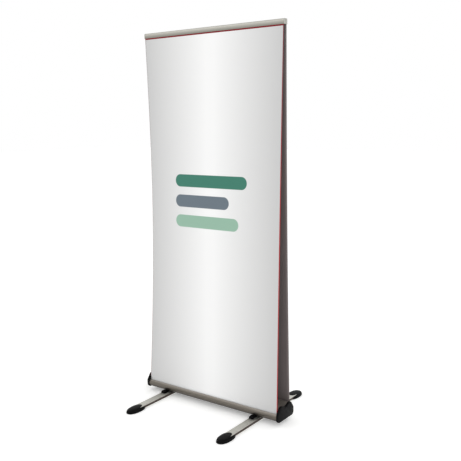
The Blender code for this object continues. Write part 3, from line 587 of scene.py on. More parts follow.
@dataclass(frozen=True)
class PrintedFilm(Finish):
    """The printed face of a banner: a plain pale ground with a few plain bars.

    Attributes:
        width: Width of the sheet.
        length: Length of the sheet.
        ground_middle: Ground at the sheet's middle line.
        ground_edge: Ground at its side edges.
        margin: Ink along the side edges, low down.
        margin_high: Ink along the side edges at the top.
        margin_head: Ink along the head.
        margin_right: Width of the inked margin on the right.
        left_edge_line: Width of the thin line along the left edge, in the side edges' colour.
        margin_top: Depth of the inked margin at the head.
        bar_radius: Half the thickness of each bar.
        bar_rim: Half the width over which a bar's rim fades.
        fade_from: Share of the length from which the side ink darkens upwards.
        mottle: How much the ground wanders.
        gloss: Strength of its reflection.
        roughness: How rough the film is on average.
        smudge: How far the roughness wanders.
        scale: How fine the film's tooth is.
        bump: Depth of the tooth in metres.
        bars: The bars, from the top.
    """

    width: float
    length: float
    ground_middle: Colour = srgb(245, 245, 245)
    ground_edge: Colour = srgb(199, 199, 199)
    margin: Colour = srgb(178, 16, 26)
    margin_high: Colour = srgb(120, 46, 54)
    margin_head: Colour = srgb(128, 8, 20)
    margin_right: float = 0.0045
    left_edge_line: float = 0.0008
    margin_top: float = 0.0186
    bar_radius: float = 0.032
    bar_rim: float = 0.001
    fade_from: float = 0.4
    mottle: float = 0.02
    gloss: float = 0.30
    roughness: float = 0.46
    smudge: float = 0.06
    scale: float = 1400.0
    bump: float = 0.00002
    bars: tuple[Bar, ...] = (
        Bar(-0.200, 0.200, 1.150, srgb(58, 122, 104)),
        Bar(-0.200, 0.090, 1.045, srgb(104, 116, 126)),
        Bar(-0.200, 0.150, 0.940, srgb(148, 184, 164)),
    )

    def fill(self, graph: Graph, shader: bpy.types.Node) -> None:
        """Adds the ground, the bars, the inked margins and the film's tooth.

        Args:
            graph: The material's graph.
            shader: The Principled shader.
        """
        flat = graph.add("ShaderNodeUVMap", uv_map="sheet").outputs[0]
        parts = graph.add("ShaderNodeSeparateXYZ", {0: flat})
        across, along = parts.outputs["X"], parts.outputs["Y"]
        inputs = {0: flat, 1: (self.width, self.length, 0.0), 2: (-self.width / 2, 0.0, 0.0)}
        place = graph.add("ShaderNodeVectorMath", inputs, operation="MULTIPLY_ADD").outputs[0]
        colour = self.barred(graph, self.ground(graph, across, place), place)
        right = graph.math("GREATER_THAN", across, 1 - self.margin_right / self.width)
        left = graph.math("LESS_THAN", across, self.left_edge_line / self.width)
        top = graph.math("GREATER_THAN", along, 1 - self.margin_top / self.length)
        side_ink = graph.mix(graph.remap(along, self.fade_from, 1.0), self.margin, self.margin_high)
        colour = graph.mix(graph.math("MAXIMUM", right, left), colour, side_ink)
        graph.plug(shader.inputs["Base Color"], graph.mix(top, colour, self.margin_head))
        self.roughen(graph, shader, place, self.roughness, self.smudge)
        shader.inputs["Specular IOR Level"].default_value = self.gloss
        tooth = self.grain(graph, place, self.scale).outputs["Height"]
        self.relief(graph, shader, tooth, self.bump, strength=0.4)

    def ground(self, graph: Graph, across: Socket, place: Socket) -> Socket:
        """The pale ground: light in the middle, greyer towards both sides, with a faint mottle.

        Args:
            graph: The material's graph.
            across: From 0 at the sheet's left edge to 1 at its right.
            place: Place on the flat sheet, in metres.

        Returns:
            Its colour.
        """
        from_middle = graph.math("ABSOLUTE", graph.math("SUBTRACT", across, 0.5))
        share = graph.math("MULTIPLY", from_middle, 2.0)
        plain = graph.ramp(share, [(0.06, self.ground_middle), (1.0, self.ground_edge)])
        cloud = graph.add("ShaderNodeTexNoise", {"Vector": place, "Scale": 3.0, "Detail": 3.0}).outputs["Fac"]
        return graph.mix(graph.math("MULTIPLY", cloud, self.mottle), plain, self.ground_edge)

    def barred(self, graph: Graph, colour: Socket, place: Socket) -> Socket:
        """The ground with the plain bars printed on it.

        Args:
            graph: The material's graph.
            colour: The ground's colour.
            place: Place on the flat sheet, in metres.

        Returns:
            The colour with the bars in it.
        """
        for bar in self.bars:
            inputs = {"Vector": place, "Radius": self.bar_radius}
            inputs |= {"Start": (bar.left, bar.height, 0.0), "End": (bar.right, bar.height, 0.0)}
            away = graph.group(Effects.bar(), inputs).outputs[0]
            colour = graph.mix(graph.remap(away, self.bar_rim, -self.bar_rim), colour, bar.ink)
        return colour


@dataclass(frozen=True)
class FilmBack(Finish):
    """The unprinted grey back of a banner's film.

    Attributes:
        tint: Main colour.
        mottle: Colour that it wanders to.
        roughness: How rough the film is on average.
        smudge: How far the roughness wanders.
        scale: How fine the film's tooth is.
        bump: Depth of the tooth in metres.
    """

    tint: Colour
    mottle: Colour
    roughness: float = 0.55
    smudge: float = 0.08
    scale: float = 700.0
    bump: float = 0.00003

    def fill(self, graph: Graph, shader: bpy.types.Node) -> None:
        """Adds the back's clouded grey and its fine tooth.

        Args:
            graph: The material's graph.
            shader: The Principled shader.
        """
        place = graph.add("ShaderNodeTexCoord").outputs["Object"]
        cloud = graph.add("ShaderNodeTexNoise", {"Vector": place, "Scale": 7.0, "Detail": 4.0}).outputs["Fac"]
        grain = self.grain(graph, place, self.scale)
        share = graph.math("MULTIPLY", graph.math("ADD", cloud, grain.outputs["Mask"]), 0.5)
        graph.plug(shader.inputs["Base Color"], graph.mix(share, self.tint, self.mottle))
        self.roughen(graph, shader, place, self.roughness, self.smudge)
        self.relief(graph, shader, grain.outputs["Height"], self.bump, strength=0.4)


CASSETTE_METAL = Metal(
    "Anodised cassette",
    srgb(126, 121, 114),
    roughness=0.38,
    # Painted shade and highlight by height: the face darkens downwards to a painted shadow under its lower
    # curve and lightens to a painted highlight along the lip.
    heights=(
        (0.0235, srgb(44, 41, 40)),
        (0.0300, srgb(80, 75, 70)),
        (0.0580, srgb(124, 118, 110)),
        (0.0622, srgb(158, 152, 144)),
        (0.0700, srgb(198, 193, 184)),
    ),
    wear=0.15,
)
RAIL_METAL = Metal(
    "Anodised rail",
    srgb(192, 190, 182),
    streak=0.95,
    roughness=0.34,
    # Painted shade by height: the rail darkens towards its lower edge.
    heights=((1.9320, srgb(142, 140, 132)), (1.9530, srgb(192, 190, 182))),
    wear=0.05,
)
FOOT_METAL = Metal(
    "Foot bar aluminium", srgb(210, 209, 201), 0.93, 0.42, stretch=(30.0, 0.04, 30.0), wear=0.1
)
TUBE_METAL = Metal("Pole tube", srgb(196, 197, 199), 0.92, 0.28, stretch=(30.0, 30.0, 0.04))
STEEL = Metal("Plated steel", srgb(178, 178, 180), 0.85, 0.30, stretch=EVEN, scale=200.0)
DARK_STEEL = Metal("Blackened steel", srgb(34, 34, 35), 0.85, 0.40, stretch=EVEN, scale=200.0)
SPRING_STEEL = Metal("Spring steel", srgb(120, 120, 126), 0.8, 0.38, stretch=EVEN, scale=160.0)
BLACK_PLASTIC = Plastic("Black moulding", srgb(10, 10, 11), srgb(60, 59, 58), roughness=0.42, gloss=0.06)
# Painted shade: the dark brown that the foot bars' side faces take in place of the shade that falls on them.
BAR_SIDE_PAINTED_SHADE = Plastic("Foot bar side painted shade", srgb(62, 50, 44), srgb(96, 86, 80), roughness=0.55, gloss=0.2)
GREY_PLASTIC = Plastic("Grey moulding", srgb(176, 175, 168), srgb(205, 204, 198), roughness=0.45)
FILM_BACK = FilmBack("Film back", srgb(132, 123, 122), srgb(116, 107, 107))


# ---- mesh tools -----------------------------------------------------------------------------------
def rounded(corners: Iterable[Corner], steps: int = 8) -> list[Vector]:
    """Points of a closed outline whose corners are rounded.

    Args:
        corners: Each corner as (across, up, radius).
        steps: How many straight pieces each arc has.

    Returns:
        The outline's points in order.
    """
    corners = list(corners)
    points = []
    for number, (across, up, radius) in enumerate(corners):
        here = Vector((across, up))
        back = Vector(corners[number - 1][:2]) - here
        ahead = Vector(corners[(number + 1) % len(corners)][:2]) - here
        turn = math.pi - back.angle(ahead)
        if radius <= 0 or turn < STRAIGHT:
            points.append(here)
            continue
        start = here + back.normalized() * radius * math.tan(turn / 2)
        to_centre = (back.normalized() + ahead.normalized()).normalized()
        centre = here + to_centre * radius / math.cos(turn / 2)
        side = 1 if back.cross(ahead) < 0 else -1
        for step in range(steps + 1):
            points.append(centre + Matrix.Rotation(side * turn * step / steps, 2) @ (start - centre))
    return points


def run_section(
    name: str, outline: Sequence[Vector], start: float, end: float, axis: Axis
) -> bpy.types.Object:
    """A closed solid of one section run between two places along an axis.

    Args:
        name: The object's name.
        outline: The section's outline.
        start: Where it begins on the axis.
        end: Where it ends.
        axis: X for a section in Y and Z, Y for one in X and Z.

    Returns:
        The new object.
    """
    shape = bmesh.new()
    rings: list[list[bmesh.types.BMVert]] = []
    for place in (start, end):
        spots = [(place, a, b) if axis is Axis.X else (a, place, b) for a, b in outline]
        rings.append([shape.verts.new(spot) for spot in spots])
    near, far = rings
    for i in range(len(near)):
        j = (i + 1) % len(near)
        shape.faces.new((near[i], near[j], far[j], far[i]))
    flat = [[Vector((a, b, 0)) for a, b in outline]]
    for ring in rings:
        for triangle in tessellate_polygon(flat):
            shape.faces.new([ring[i] for i in triangle])
    bmesh.ops.recalc_face_normals(shape, faces=shape.faces)
    return mesh_object(name, shape)


def mesh_object(name: str, shape: bmesh.types.BMesh) -> bpy.types.Object:
    """An object in the scene from a bmesh, which is used up.

    Args:
        name: The object's name.
        shape: Its shape.

    Returns:
        The new object.
    """
    mesh = bpy.data.meshes.new(name)
    shape.to_mesh(mesh)
    shape.free()
    made = bpy.data.objects.new(name, mesh)
    bpy.context.scene.collection.objects.link(made)
    return made


def block(name: str, low: Sequence[float], high: Sequence[float]) -> bpy.types.Object:
    """A plain box for cutting.

    Args:
        name: The object's name.
        low: Its lower corner.
        high: Its upper corner.

    Returns:
        The new object.
    """
    shape = bmesh.new()
    bmesh.ops.create_cube(shape, size=1)
    bmesh.ops.scale(shape, vec=[b - a for a, b in zip(low, high)], verts=shape.verts)
    bmesh.ops.translate(shape, vec=[(a + b) / 2 for a, b in zip(low, high)], verts=shape.verts)
    return mesh_object(name, shape)


def drill(name: str, x: float, y: float, radius: float, low: float, high: float) -> bpy.types.Object:
    """An upright cylinder for cutting a hole.

    Args:
        name: The object's name.
        x: Place of its axis.
        y: Place of its axis.
        radius: Radius of the hole.
        low: Height of its foot.
        high: Height of its top.

    Returns:
        The new object.
    """
    shape = bmesh.new()
    size = {"radius1": radius, "radius2": radius, "depth": high - low}
    bmesh.ops.create_cone(shape, cap_ends=True, segments=DRILL_SIDES, **size)
    bmesh.ops.translate(shape, vec=(x, y, (low + high) / 2), verts=shape.verts)
    return mesh_object(name, shape)


def settle(piece: bpy.types.Object) -> None:
    """Makes an object's modifiers part of its mesh.

    Args:
        piece: The object.
    """
    bpy.context.view_layer.update()
    evaluated = piece.evaluated_get(bpy.context.evaluated_depsgraph_get())
    mesh = bpy.data.meshes.new_from_object(evaluated)
    piece.modifiers.clear()
    piece.data = mesh


def combine(piece: bpy.types.Object, operation: str, others: Iterable[bpy.types.Object]) -> None:
    """Changes an object by the shapes of others, which are used up.

    Args:
        piece: The object that is changed.
        operation: DIFFERENCE to cut the others out of it, UNION to join them to it.
        others: The other objects.
    """
    for other in others:
        step = piece.modifiers.new("Combine", "BOOLEAN")
        step.operation = operation
        step.object = other
        settle(piece)
        bpy.data.objects.remove(other, do_unlink=True)


def soften(piece: bpy.types.Object, width: float, segments: int = 3) -> None:
    """Rounds the sharp edges of an object and shades the rest smooth.

    Args:
        piece: The object.
        width: Width of the rounding.
        segments: How many faces it has across.
    """
    for face in piece.data.polygons:
        face.use_smooth = True
    weld = piece.modifiers.new("Weld", "WELD")
    weld.merge_threshold = WELD
    bevel = piece.modifiers.new("Soft edges", "BEVEL")
    bevel.width = width
    bevel.segments = segments
    bevel.limit_method = "ANGLE"
    bevel.angle_limit = SMOOTH_ANGLE
    bevel.harden_normals = True


def dress(piece: bpy.types.Object, finishes: Sequence[Finish]) -> None:
    """Gives an object its finishes.

    Args:
        piece: The object.
        finishes: Its finishes, in the order of its material slots.
    """
    piece.data.materials.clear()
    for finish in finishes:
        piece.data.materials.append(finish.material())


def dress_node(name: str, finish: Finish, edge: float = 0.0003) -> None:
    """Gives a carried-over node its finish and soft edges.

    Args:
        name: The node's name.
        finish: The finish that it takes.
        edge: Width that its sharp edges are rounded by.
    """
    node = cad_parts[name]
    custom = node.data.attributes.get("custom_normal")
    if custom:
        node.data.attributes.remove(custom)
    dress(node, [finish])
    soften(node, edge, 2)
    LOG.info("dressed %s in %s", name, finish.name)


def mount(piece: bpy.types.Object, body: str, nodes: Sequence[str]) -> None:
    """Makes a new piece stand for nodes and ride with their body.

    Args:
        piece: The finished piece.
        body: The body that it moves with.
        nodes: The nodes that it stands for.
    """
    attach(piece, body)
    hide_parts(*nodes)
    LOG.info("built %s in the place of %s", piece.name, ", ".join(nodes))


# ---- banners --------------------------------------------------------------------------------------
@dataclass(frozen=True)
class EdgePull:
    """How a film's side edge leaves its straight line where it hangs free.

    Attributes:
        neck: How far it draws in towards the film's middle line.
        curl: How far it curls towards the inside of the stand.
    """

    neck: float
    curl: float


EDGE_PULLS = {
    (Side.FRONT, Hand.LEFT): EdgePull(0.0145, 0.0200),
    (Side.FRONT, Hand.RIGHT): EdgePull(0.0070, 0.0090),
    (Side.REAR, Hand.LEFT): EdgePull(0.0070, 0.0090),
    (Side.REAR, Hand.RIGHT): EdgePull(0.0030, 0.0020),
}


@dataclass
class BannerSheet:
    """One printed film, held between its roller and its top rail.

    Attributes:
        side: The face of the stand that it is on.
        thickness: Thickness of the film.
        rows: Faces along its length.
        columns: Faces across it.
        curl_power: How close to the edge the curl stays.
        ripple: Height of the faint waves in the film.
        ripple_across: How close the waves are across half the film's width.
        ripple_up: How close they are along each metre of its length.
        ripple_seed: Picks the waves' pattern.
        pole_joint: Name of the pole's sliding joint; not used.
        low: Lower corner of the node that it stands for.
        high: Upper corner of that node.
        free_span: Heights between which it hangs free.
    """

    side: Side
    thickness: float = 0.0005
    rows: int = 150
    columns: int = 72
    curl_power: int = 8
    ripple: float = 0.0007
    ripple_across: float = 3.0
    ripple_up: float = 0.8
    ripple_seed: float = 2.0
    pole_joint: str = "pole_middle_slide"
    low: Vector = field(init=False)
    high: Vector = field(init=False)
    free_span: tuple[float, float] = field(init=False)

    def __post_init__(self) -> None:
        """Takes the sheet's corners from its node, and the heights between which it hangs free."""
        self.low, self.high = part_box(f"banner_{self.side.label}")
        self.free_span = (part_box("cassette_housing")[1].z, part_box(f"rail_{self.side.label}")[0].z)

    @property
    def width(self) -> float:
        """Width of the flat sheet."""
        return self.high.x - self.low.x

    @property
    def length(self) -> float:
        """Length of the sheet from its roller to its rail."""
        return self.high.z - self.low.z

    @property
    def foot_y(self) -> float:
        """Distance of the sheet's foot from the middle plane."""
        return max(abs(self.low.y), abs(self.high.y)) - self.thickness / 2

    @property
    def head_y(self) -> float:
        """Distance of the sheet's head from the middle plane."""
        return min(abs(self.low.y), abs(self.high.y)) + self.thickness / 2

    def drawn_in(self, height: float) -> float:
        """How much the side edges draw in.

        Args:
            height: Height above the floor.

        Returns:
            From 0 where the film is held to 1 midway between.
        """
        foot, head = self.free_span
        share = (head - height) / (head - foot)
        if not 0 < share < 1:
            return 0.0
        return math.sin(math.pi * share)

    def point(self, u: float, v: float) -> Vector:
        """Place of one point of the front sheet.

        Args:
            u: From 0 at its left edge to 1 at its right.
            v: From 0 at its foot to 1 at its head.

        Returns:
            The point, for the side that faces -Y.
        """
        across, height = 2 * u - 1, self.low.z + v * self.length
        hand = Hand.RIGHT if across * -self.side.value > 0 else Hand.LEFT
        pull, edge = self.drawn_in(height), EDGE_PULLS[self.side, hand]
        x = across * (self.width / 2 - edge.neck * pull)
        inwards = edge.curl * pull * abs(across) ** self.curl_power
        spot = Vector((across * self.ripple_across, height * self.ripple_up, self.ripple_seed))
        wave = noise.noise(spot) * math.sin(math.pi * v)
        y = -(self.foot_y + (self.head_y - self.foot_y) * v) + inwards + self.ripple * wave
        return Vector((x, y, height))

    def build(self) -> None:
        """Builds the sheet as a thin closed shell, print outside and grey inside."""
        shape = bmesh.new()
        flat = shape.loops.layers.uv.new("sheet")
        turn = Matrix.Rotation(math.pi if self.side is Side.REAR else 0.0, 3, "Z")
        rows, columns = self.rows, self.columns
        grid = [
            [shape.verts.new(turn @ self.point(c / columns, r / rows)) for c in range(columns + 1)]
            for r in range(rows + 1)
        ]
        for r in range(rows):
            for c in range(columns):
                spots = ((c, r), (c + 1, r), (c + 1, r + 1), (c, r + 1))
                face = shape.faces.new([grid[j][i] for i, j in spots])
                face.smooth = True
                for loop, (i, j) in zip(face.loops, spots):
                    loop[flat].uv = (i / columns, j / rows)
        sheet = mesh_object(f"banner_{self.side.label}_sheet", shape)
        printed = PrintedFilm("Printed film", self.width, self.length)
        dress(sheet, [printed, FILM_BACK])
        shell = sheet.modifiers.new("Film", "SOLIDIFY")
        shell.thickness = self.thickness
        shell.offset = 0.0
        shell.material_offset = 1
        shell.material_offset_rim = 1
        settle(sheet)
        self.hang(sheet)

    def hang(self, sheet: bpy.types.Object) -> None:
        """Fixes the sheet to the base.

        Args:
            sheet: The finished sheet.
        """
        name = self.side.label
        mount(sheet, "base", [f"banner_{name}"])
        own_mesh(sheet)


# ---- top rails ------------------------------------------------------------------------------------
@dataclass
class TopRail:
    """One hollow top rail with its two end caps; it clamps the head of one film.

    Attributes:
        side: The face of the stand that it is on.
        wall: Thickness of the rail's wall.
        slot: Width of the slot that holds the film.
        hook_depth: How deep the hook sits in the rail's back.
        foot_radius: Rounding of the section's lower back corner.
        back_radius: Rounding of its upper back corner.
        face_radius: Rounding of its upper front corner.
        lip_radius: Rounding of its lower front corner.
        inner_face_radius: Rounding inside the upper front corner.
        inner_back_radius: Rounding inside the upper back corner.
        slot_radius: Rounding of the slot's inner corners.
        mouth_radius: Rounding of the slot's mouth at the back.
        plug_radius: Rounding of a cap's plug, low down.
        rail_edge: Rounding of the rail's cut ends.
        cap_edge: Rounding of the end caps' rims.
    """

    side: Side
    wall: float = 0.0014
    slot: float = 0.0020
    hook_depth: float = 0.0024
    foot_radius: float = 0.0012
    back_radius: float = 0.0045
    face_radius: float = 0.0062
    lip_radius: float = 0.0008
    inner_face_radius: float = 0.0034
    inner_back_radius: float = 0.0020
    slot_radius: float = 0.0002
    mouth_radius: float = 0.0003
    plug_radius: float = 0.0006
    rail_edge: float = 0.00012
    cap_edge: float = 0.0007

    def span(self) -> tuple[float, float, float, float]:
        """Distances of the rail's back and front from the middle plane, and its two heights."""
        low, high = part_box(f"rail_{self.side.label}")
        near, far = sorted((abs(low.y), abs(high.y)))
        return near, far, low.z, high.z

    def outer_corners(self) -> list[Corner]:
        """The four outer corners of the rail's section, each with its rounding."""
        back, front, low, high = self.span()
        return [
            (-back, low, self.foot_radius),
            (-back, high, self.back_radius),
            (-front, high, self.face_radius),
            (-front, low, self.lip_radius),
        ]

    def section(self) -> list[Vector]:
        """The rail's section on the front side, round on top, with the film's slot."""
        back, front, low, high = self.span()
        slot_out, slot_in = -front + self.wall, -front + self.wall + self.slot
        inner_back = -back - self.wall - self.hook_depth
        return rounded(
            [
                (slot_in, low, self.mouth_radius),
                *self.outer_corners(),
                (slot_out, low, self.slot_radius),
                (slot_out, high - self.wall, self.inner_face_radius),
                (inner_back, high - self.wall, self.inner_back_radius),
                (inner_back, low + self.wall, self.lip_radius),
                (slot_in, low + self.wall, self.slot_radius),
            ]
        )

    def cap_section(self) -> list[Vector]:
        """The rail's outer section, closed."""
        return rounded(self.outer_corners())

    def plug_section(self) -> list[Vector]:
        """What an end cap pushes into the rail, above the film's head."""
        back, front, _, high = self.span()
        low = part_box(f"banner_{self.side.label}")[1].z + GAP
        inner, outer = -back - self.wall - self.hook_depth - GAP, -front + self.wall + GAP
        top = high - self.wall - GAP
        return rounded(
            [
                (inner, low, self.plug_radius),
                (inner, top, self.inner_back_radius),
                (outer, top, self.inner_face_radius),
                (outer, low, self.plug_radius),
            ]
        )

    def turn(self, piece: bpy.types.Object) -> None:
        """Turns a piece built for the front to this rail's own side."""
        if self.side is Side.REAR:
            piece.data.transform(Matrix.Rotation(math.pi, 4, "Z"))

    def build(self) -> None:
        """Builds the rail and both its end caps."""
        name = self.side.label
        low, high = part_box(f"rail_{name}")
        rail = run_section(f"rail_{name}_extrusion", self.section(), low.x, high.x, Axis.X)
        self.turn(rail)
        hook_low, hook_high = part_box(f"rail_hook_{name}")
        spare = Vector((GAP, GAP, GAP))
        combine(rail, "DIFFERENCE", [block("pocket", hook_low - spare, hook_high + spare)])
        soften(rail, self.rail_edge, 2)
        dress(rail, [RAIL_METAL])
        body = f"rail_{name}"
        mount(rail, body, [f"rail_{name}"])
        for hand in Hand:
            self.build_cap(hand, body)
        dress_node(f"rail_hook_{name}", BLACK_PLASTIC)

    def build_cap(self, hand: Hand, body: str) -> None:
        """Builds one end cap with the plug that holds it.

        Args:
            hand: The end of the rail.
            body: The body that the cap rides on.
        """
        node = f"rail_cap_{self.side.label}_{hand.label}"
        low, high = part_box(node)
        rail_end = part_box(f"rail_{self.side.label}")[1].x
        sign = hand.value * (-self.side.value)
        outer = max(abs(low.x), abs(high.x))
        inner = min(abs(low.x), abs(high.x))
        start, end = sorted((sign * (rail_end + GAP), sign * outer))
        cap = run_section(f"{node}_moulding", self.cap_section(), start, end, Axis.X)
        start, end = sorted((sign * inner, sign * (rail_end + 2 * GAP)))
        plug = run_section("plug", self.plug_section(), start, end, Axis.X)
        combine(cap, "UNION", [plug])
        self.turn(cap)
        soften(cap, self.cap_edge)
        dress(cap, [GREY_PLASTIC])
        mount(cap, body, [node])


# ---- feet -----------------------------------------------------------------------------------------
@dataclass
class FoldingFoot:
    """One swivelling foot: an aluminium bar with two oval tips, on its screw.

    Attributes:
        hand: The end of the stand that it is under.
        crown: How much higher the bar is along its middle than at its shoulders.
        crown_points: Where the crown has points, as shares of the way to a groove.
        groove: Width of the two grooves along its top.
        groove_depth: Depth of those grooves.
        groove_place: Where they run, as a share of the bar's half width.
        groove_radius: Rounding of their corners.
        bar_edge: Rounding of the bar's upper long edges.
        bar_foot_edge: Rounding of its lower long edges.
        end_edge: Rounding of its cut ends and of the bore.
        head_spare: Play round the screw's head.
        head_depth: How deep the screw's head sits.
        shank: Radius of the screw's shank.
        overshoot: How far the drill for the bore passes the bar's top.
        tip_edge: Rounding of the tips' sharp edges.
        tip_wall: Share of a tip's outline that is its upright side.
        tip_side: Height of that side, as a share of the tip's height.
        tip_taper: How much the side draws in.
        tip_dome: Power of the cosine that rounds the top; below 1 it is fuller.
        tip_foot: Size of the tip's foot, as a share of its full size.
        tip_lip: Height at which it is at its full size.
        tip_oval: Power of its outline: 1 is an ellipse, less is fuller.
        rings: Rings of faces from a tip's rim to its top.
        spokes: Faces round a tip.
    """

    hand: Hand
    crown: float = 0.0007
    crown_points: tuple[float, float] = (0.35, 0.7)
    groove: float = 0.0016
    groove_depth: float = 0.0006
    groove_place: float = 0.62
    groove_radius: float = 0.0002
    bar_edge: float = 0.0016
    bar_foot_edge: float = 0.0008
    end_edge: float = 0.0002
    head_spare: float = 0.0010
    head_depth: float = 0.0041
    shank: float = 0.0040
    overshoot: float = 0.0100
    tip_edge: float = 0.0006
    tip_wall: float = 0.38
    tip_side: float = 0.50
    tip_taper: float = 0.045
    tip_dome: float = 0.78
    tip_foot: float = 0.965
    tip_lip: float = 0.0012
    tip_oval: float = 0.92
    rings: int = 12
    spokes: int = 72

    @property
    def body(self) -> str:
        """The body that the foot's pieces ride on."""
        return f"foot_{self.hand.label}"

    def bar_section(self, low: Vector, high: Vector) -> list[Vector]:
        """The bar's section: a crowned top with two fine grooves.

        Args:
            low: Lower corner of the bar.
            high: Its upper corner.

        Returns:
            The section's points, in X and Z.
        """
        middle, half = (low.x + high.x) / 2, (high.x - low.x) / 2
        top, depth = high.z, self.groove_depth
        place, wide = half * self.groove_place, self.groove / 2

        def surface(offset: float) -> float:
            """Height of the crowned top at an offset from its middle."""
            return top - self.crown * (offset / half) ** 2

        offsets = [place * share for share in self.crown_points]
        right = [(middle + offset, surface(offset), 0.0) for offset in offsets]
        near, far, shoulder = middle + place - wide, middle + place + wide, surface(place)
        right += [
            (near, shoulder, self.groove_radius),
            (near, shoulder - depth, self.groove_radius),
            (far, shoulder - depth, self.groove_radius),
            (far, shoulder, self.groove_radius),
            (middle + half, surface(half), self.bar_edge),
            (middle + half, low.z, self.bar_foot_edge),
        ]
        left = [(2 * middle - x, z, radius) for x, z, radius in reversed(right)]
        return rounded([(middle, top, 0.0), *right, *left], 5)

    def build(self) -> None:
        """Builds the bar and both tips, and dresses the screw, washer, nut and clip."""
        name = self.hand.label
        node = f"foot_bar_{name}"
        low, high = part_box(node)
        bar = run_section(f"{node}_extrusion", self.bar_section(low, high), low.y, high.y, Axis.Y)
        screw_low, screw_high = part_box(f"foot_screw_{name}")
        x, y = (screw_low.x + screw_high.x) / 2, (screw_low.y + screw_high.y) / 2
        head = (screw_high.x - screw_low.x) / 2 + self.head_spare
        bore = drill("bore", x, y, self.shank + GAP, 0.0, high.z + self.overshoot)
        counterbore = drill("counterbore", x, y, head, 0.0, low.z + self.head_depth)
        combine(bar, "DIFFERENCE", [bore, counterbore])
        dress(bar, [FOOT_METAL, BAR_SIDE_PAINTED_SHADE])
        middle, half = (low.x + high.x) / 2, (high.x - low.x) / 2
        # The bar's outer side faces take the painted shade; the rest takes the light metal.
        for face in bar.data.polygons:
            on_side = abs(face.normal.x) > SIDEWAYS and face.center.z < high.z - self.bar_edge
            outside = abs(abs(face.center.x - middle) - half) < AT_SIDE
            face.material_index = 1 if on_side and outside else 0
        soften(bar, self.end_edge, 2)
        mount(bar, self.body, [node])
        for side in Side:
            self.build_tip(side)
        for part in ("screw", "nut"):
            dress_node(f"foot_{part}_{name}", STEEL)
        for part in ("washer", "clip"):
            dress_node(f"foot_{part}_{name}", BLACK_PLASTIC)

    def tip_ring(self, share: float, height: float) -> tuple[float, float]:
        """Size and height of one ring of a tip.

        Args:
            share: From 0 at the foot of its side to 1 at its top.
            height: Full height of the tip.

        Returns:
            The ring's size as a share of the tip's half width, and its height.
        """
        if share <= self.tip_wall:
            part = share / self.tip_wall
            return 1.0 - self.tip_taper * part**2, height * self.tip_side * part
        angle = (share - self.tip_wall) / (1 - self.tip_wall) * math.pi / 2
        rise = self.tip_side + (1 - self.tip_side) * math.sin(angle)
        return (1 - self.tip_taper) * math.cos(angle) ** self.tip_dome, height * rise

    def build_tip(self, side: Side) -> None:
        """Builds one oval tip with its mouth round the end of the bar.

        Args:
            side: The end of the bar that it is on.
        """
        node = f"foot_tip_{self.hand.label}_{side.label}"
        low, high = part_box(node)
        centre = (low + high) / 2
        half_x, half_y, height = (high.x - low.x) / 2, (high.y - low.y) / 2, high.z - low.z
        shape = bmesh.new()
        rings = []
        levels = [(self.tip_foot, 0.0), (1.0, self.tip_lip)]
        levels += [self.tip_ring(i / self.rings, height) for i in range(1, self.rings)]
        for size, level in levels:
            ring = []
            for spoke in range(self.spokes):
                angle = 2 * math.pi * spoke / self.spokes
                across, along = math.cos(angle), math.sin(angle)
                x = centre.x + half_x * size * math.copysign(abs(across) ** self.tip_oval, across)
                y = centre.y + half_y * size * math.copysign(abs(along) ** self.tip_oval, along)
                ring.append(shape.verts.new((x, y, low.z + level)))
            rings.append(ring)
        shape.faces.new(list(reversed(rings[0])))
        for lower, upper in zip(rings, rings[1:]):
            for i in range(self.spokes):
                j = (i + 1) % self.spokes
                shape.faces.new((lower[i], lower[j], upper[j], upper[i]))
        top = shape.verts.new((centre.x, centre.y, high.z))
        for i in range(self.spokes):
            shape.faces.new((rings[-1][i], rings[-1][(i + 1) % self.spokes], top))
        bmesh.ops.recalc_face_normals(shape, faces=shape.faces)
        tip = mesh_object(f"{node}_moulding", shape)
        bar_low, bar_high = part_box(f"foot_bar_{self.hand.label}")
        spare = Vector((GAP, GAP, GAP))
        combine(tip, "DIFFERENCE", [block("mouth", bar_low - spare, bar_high + spare)])
        soften(tip, self.tip_edge, 2)
        dress(tip, [BLACK_PLASTIC])
        mount(tip, self.body, [node])


# ---- pieces that keep their solids ----------------------------------------------------------------
@dataclass
class Cassette:
    """The aluminium cassette, its end caps and their screws.

    Attributes:
        shell_edge: Rounding of the extrusion's edges.
        cap_edge: Rounding of the end caps' edges.
    """

    shell_edge: float = 0.0004
    cap_edge: float = 0.0008

    def build(self) -> None:
        """Dresses the cassette's pieces."""
        dress_node("cassette_housing", CASSETTE_METAL, self.shell_edge)
        for hand in Hand:
            dress_node(f"end_cap_{hand.label}", BLACK_PLASTIC, self.cap_edge)
            for place in ("lower", "upper"):
                dress_node(f"cap_screw_{hand.label}_{place}", DARK_STEEL)


@dataclass
class Roller:
    """One spring roller inside the cassette.

    Attributes:
        side: The face of the stand whose film it winds.
        tube_edge: Rounding of the tube's and the film turns' rims.
        wire_edge: Rounding of the spring's wire.
    """

    side: Side
    tube_edge: float = 0.0002
    wire_edge: float = 0.0001

    def build(self) -> None:
        """Dresses the roller's pieces."""
        name = self.side.label
        dress_node(f"{name}_roller_tube", TUBE_METAL, self.tube_edge)
        dress_node(f"{name}_film_turns", FILM_BACK, self.tube_edge)
        dress_node(f"{name}_spring_arbor", STEEL)
        dress_node(f"{name}_spring", SPRING_STEEL, self.wire_edge)
        for hand in Hand:
            dress_node(f"{name}_plug_{hand.label}", BLACK_PLASTIC)


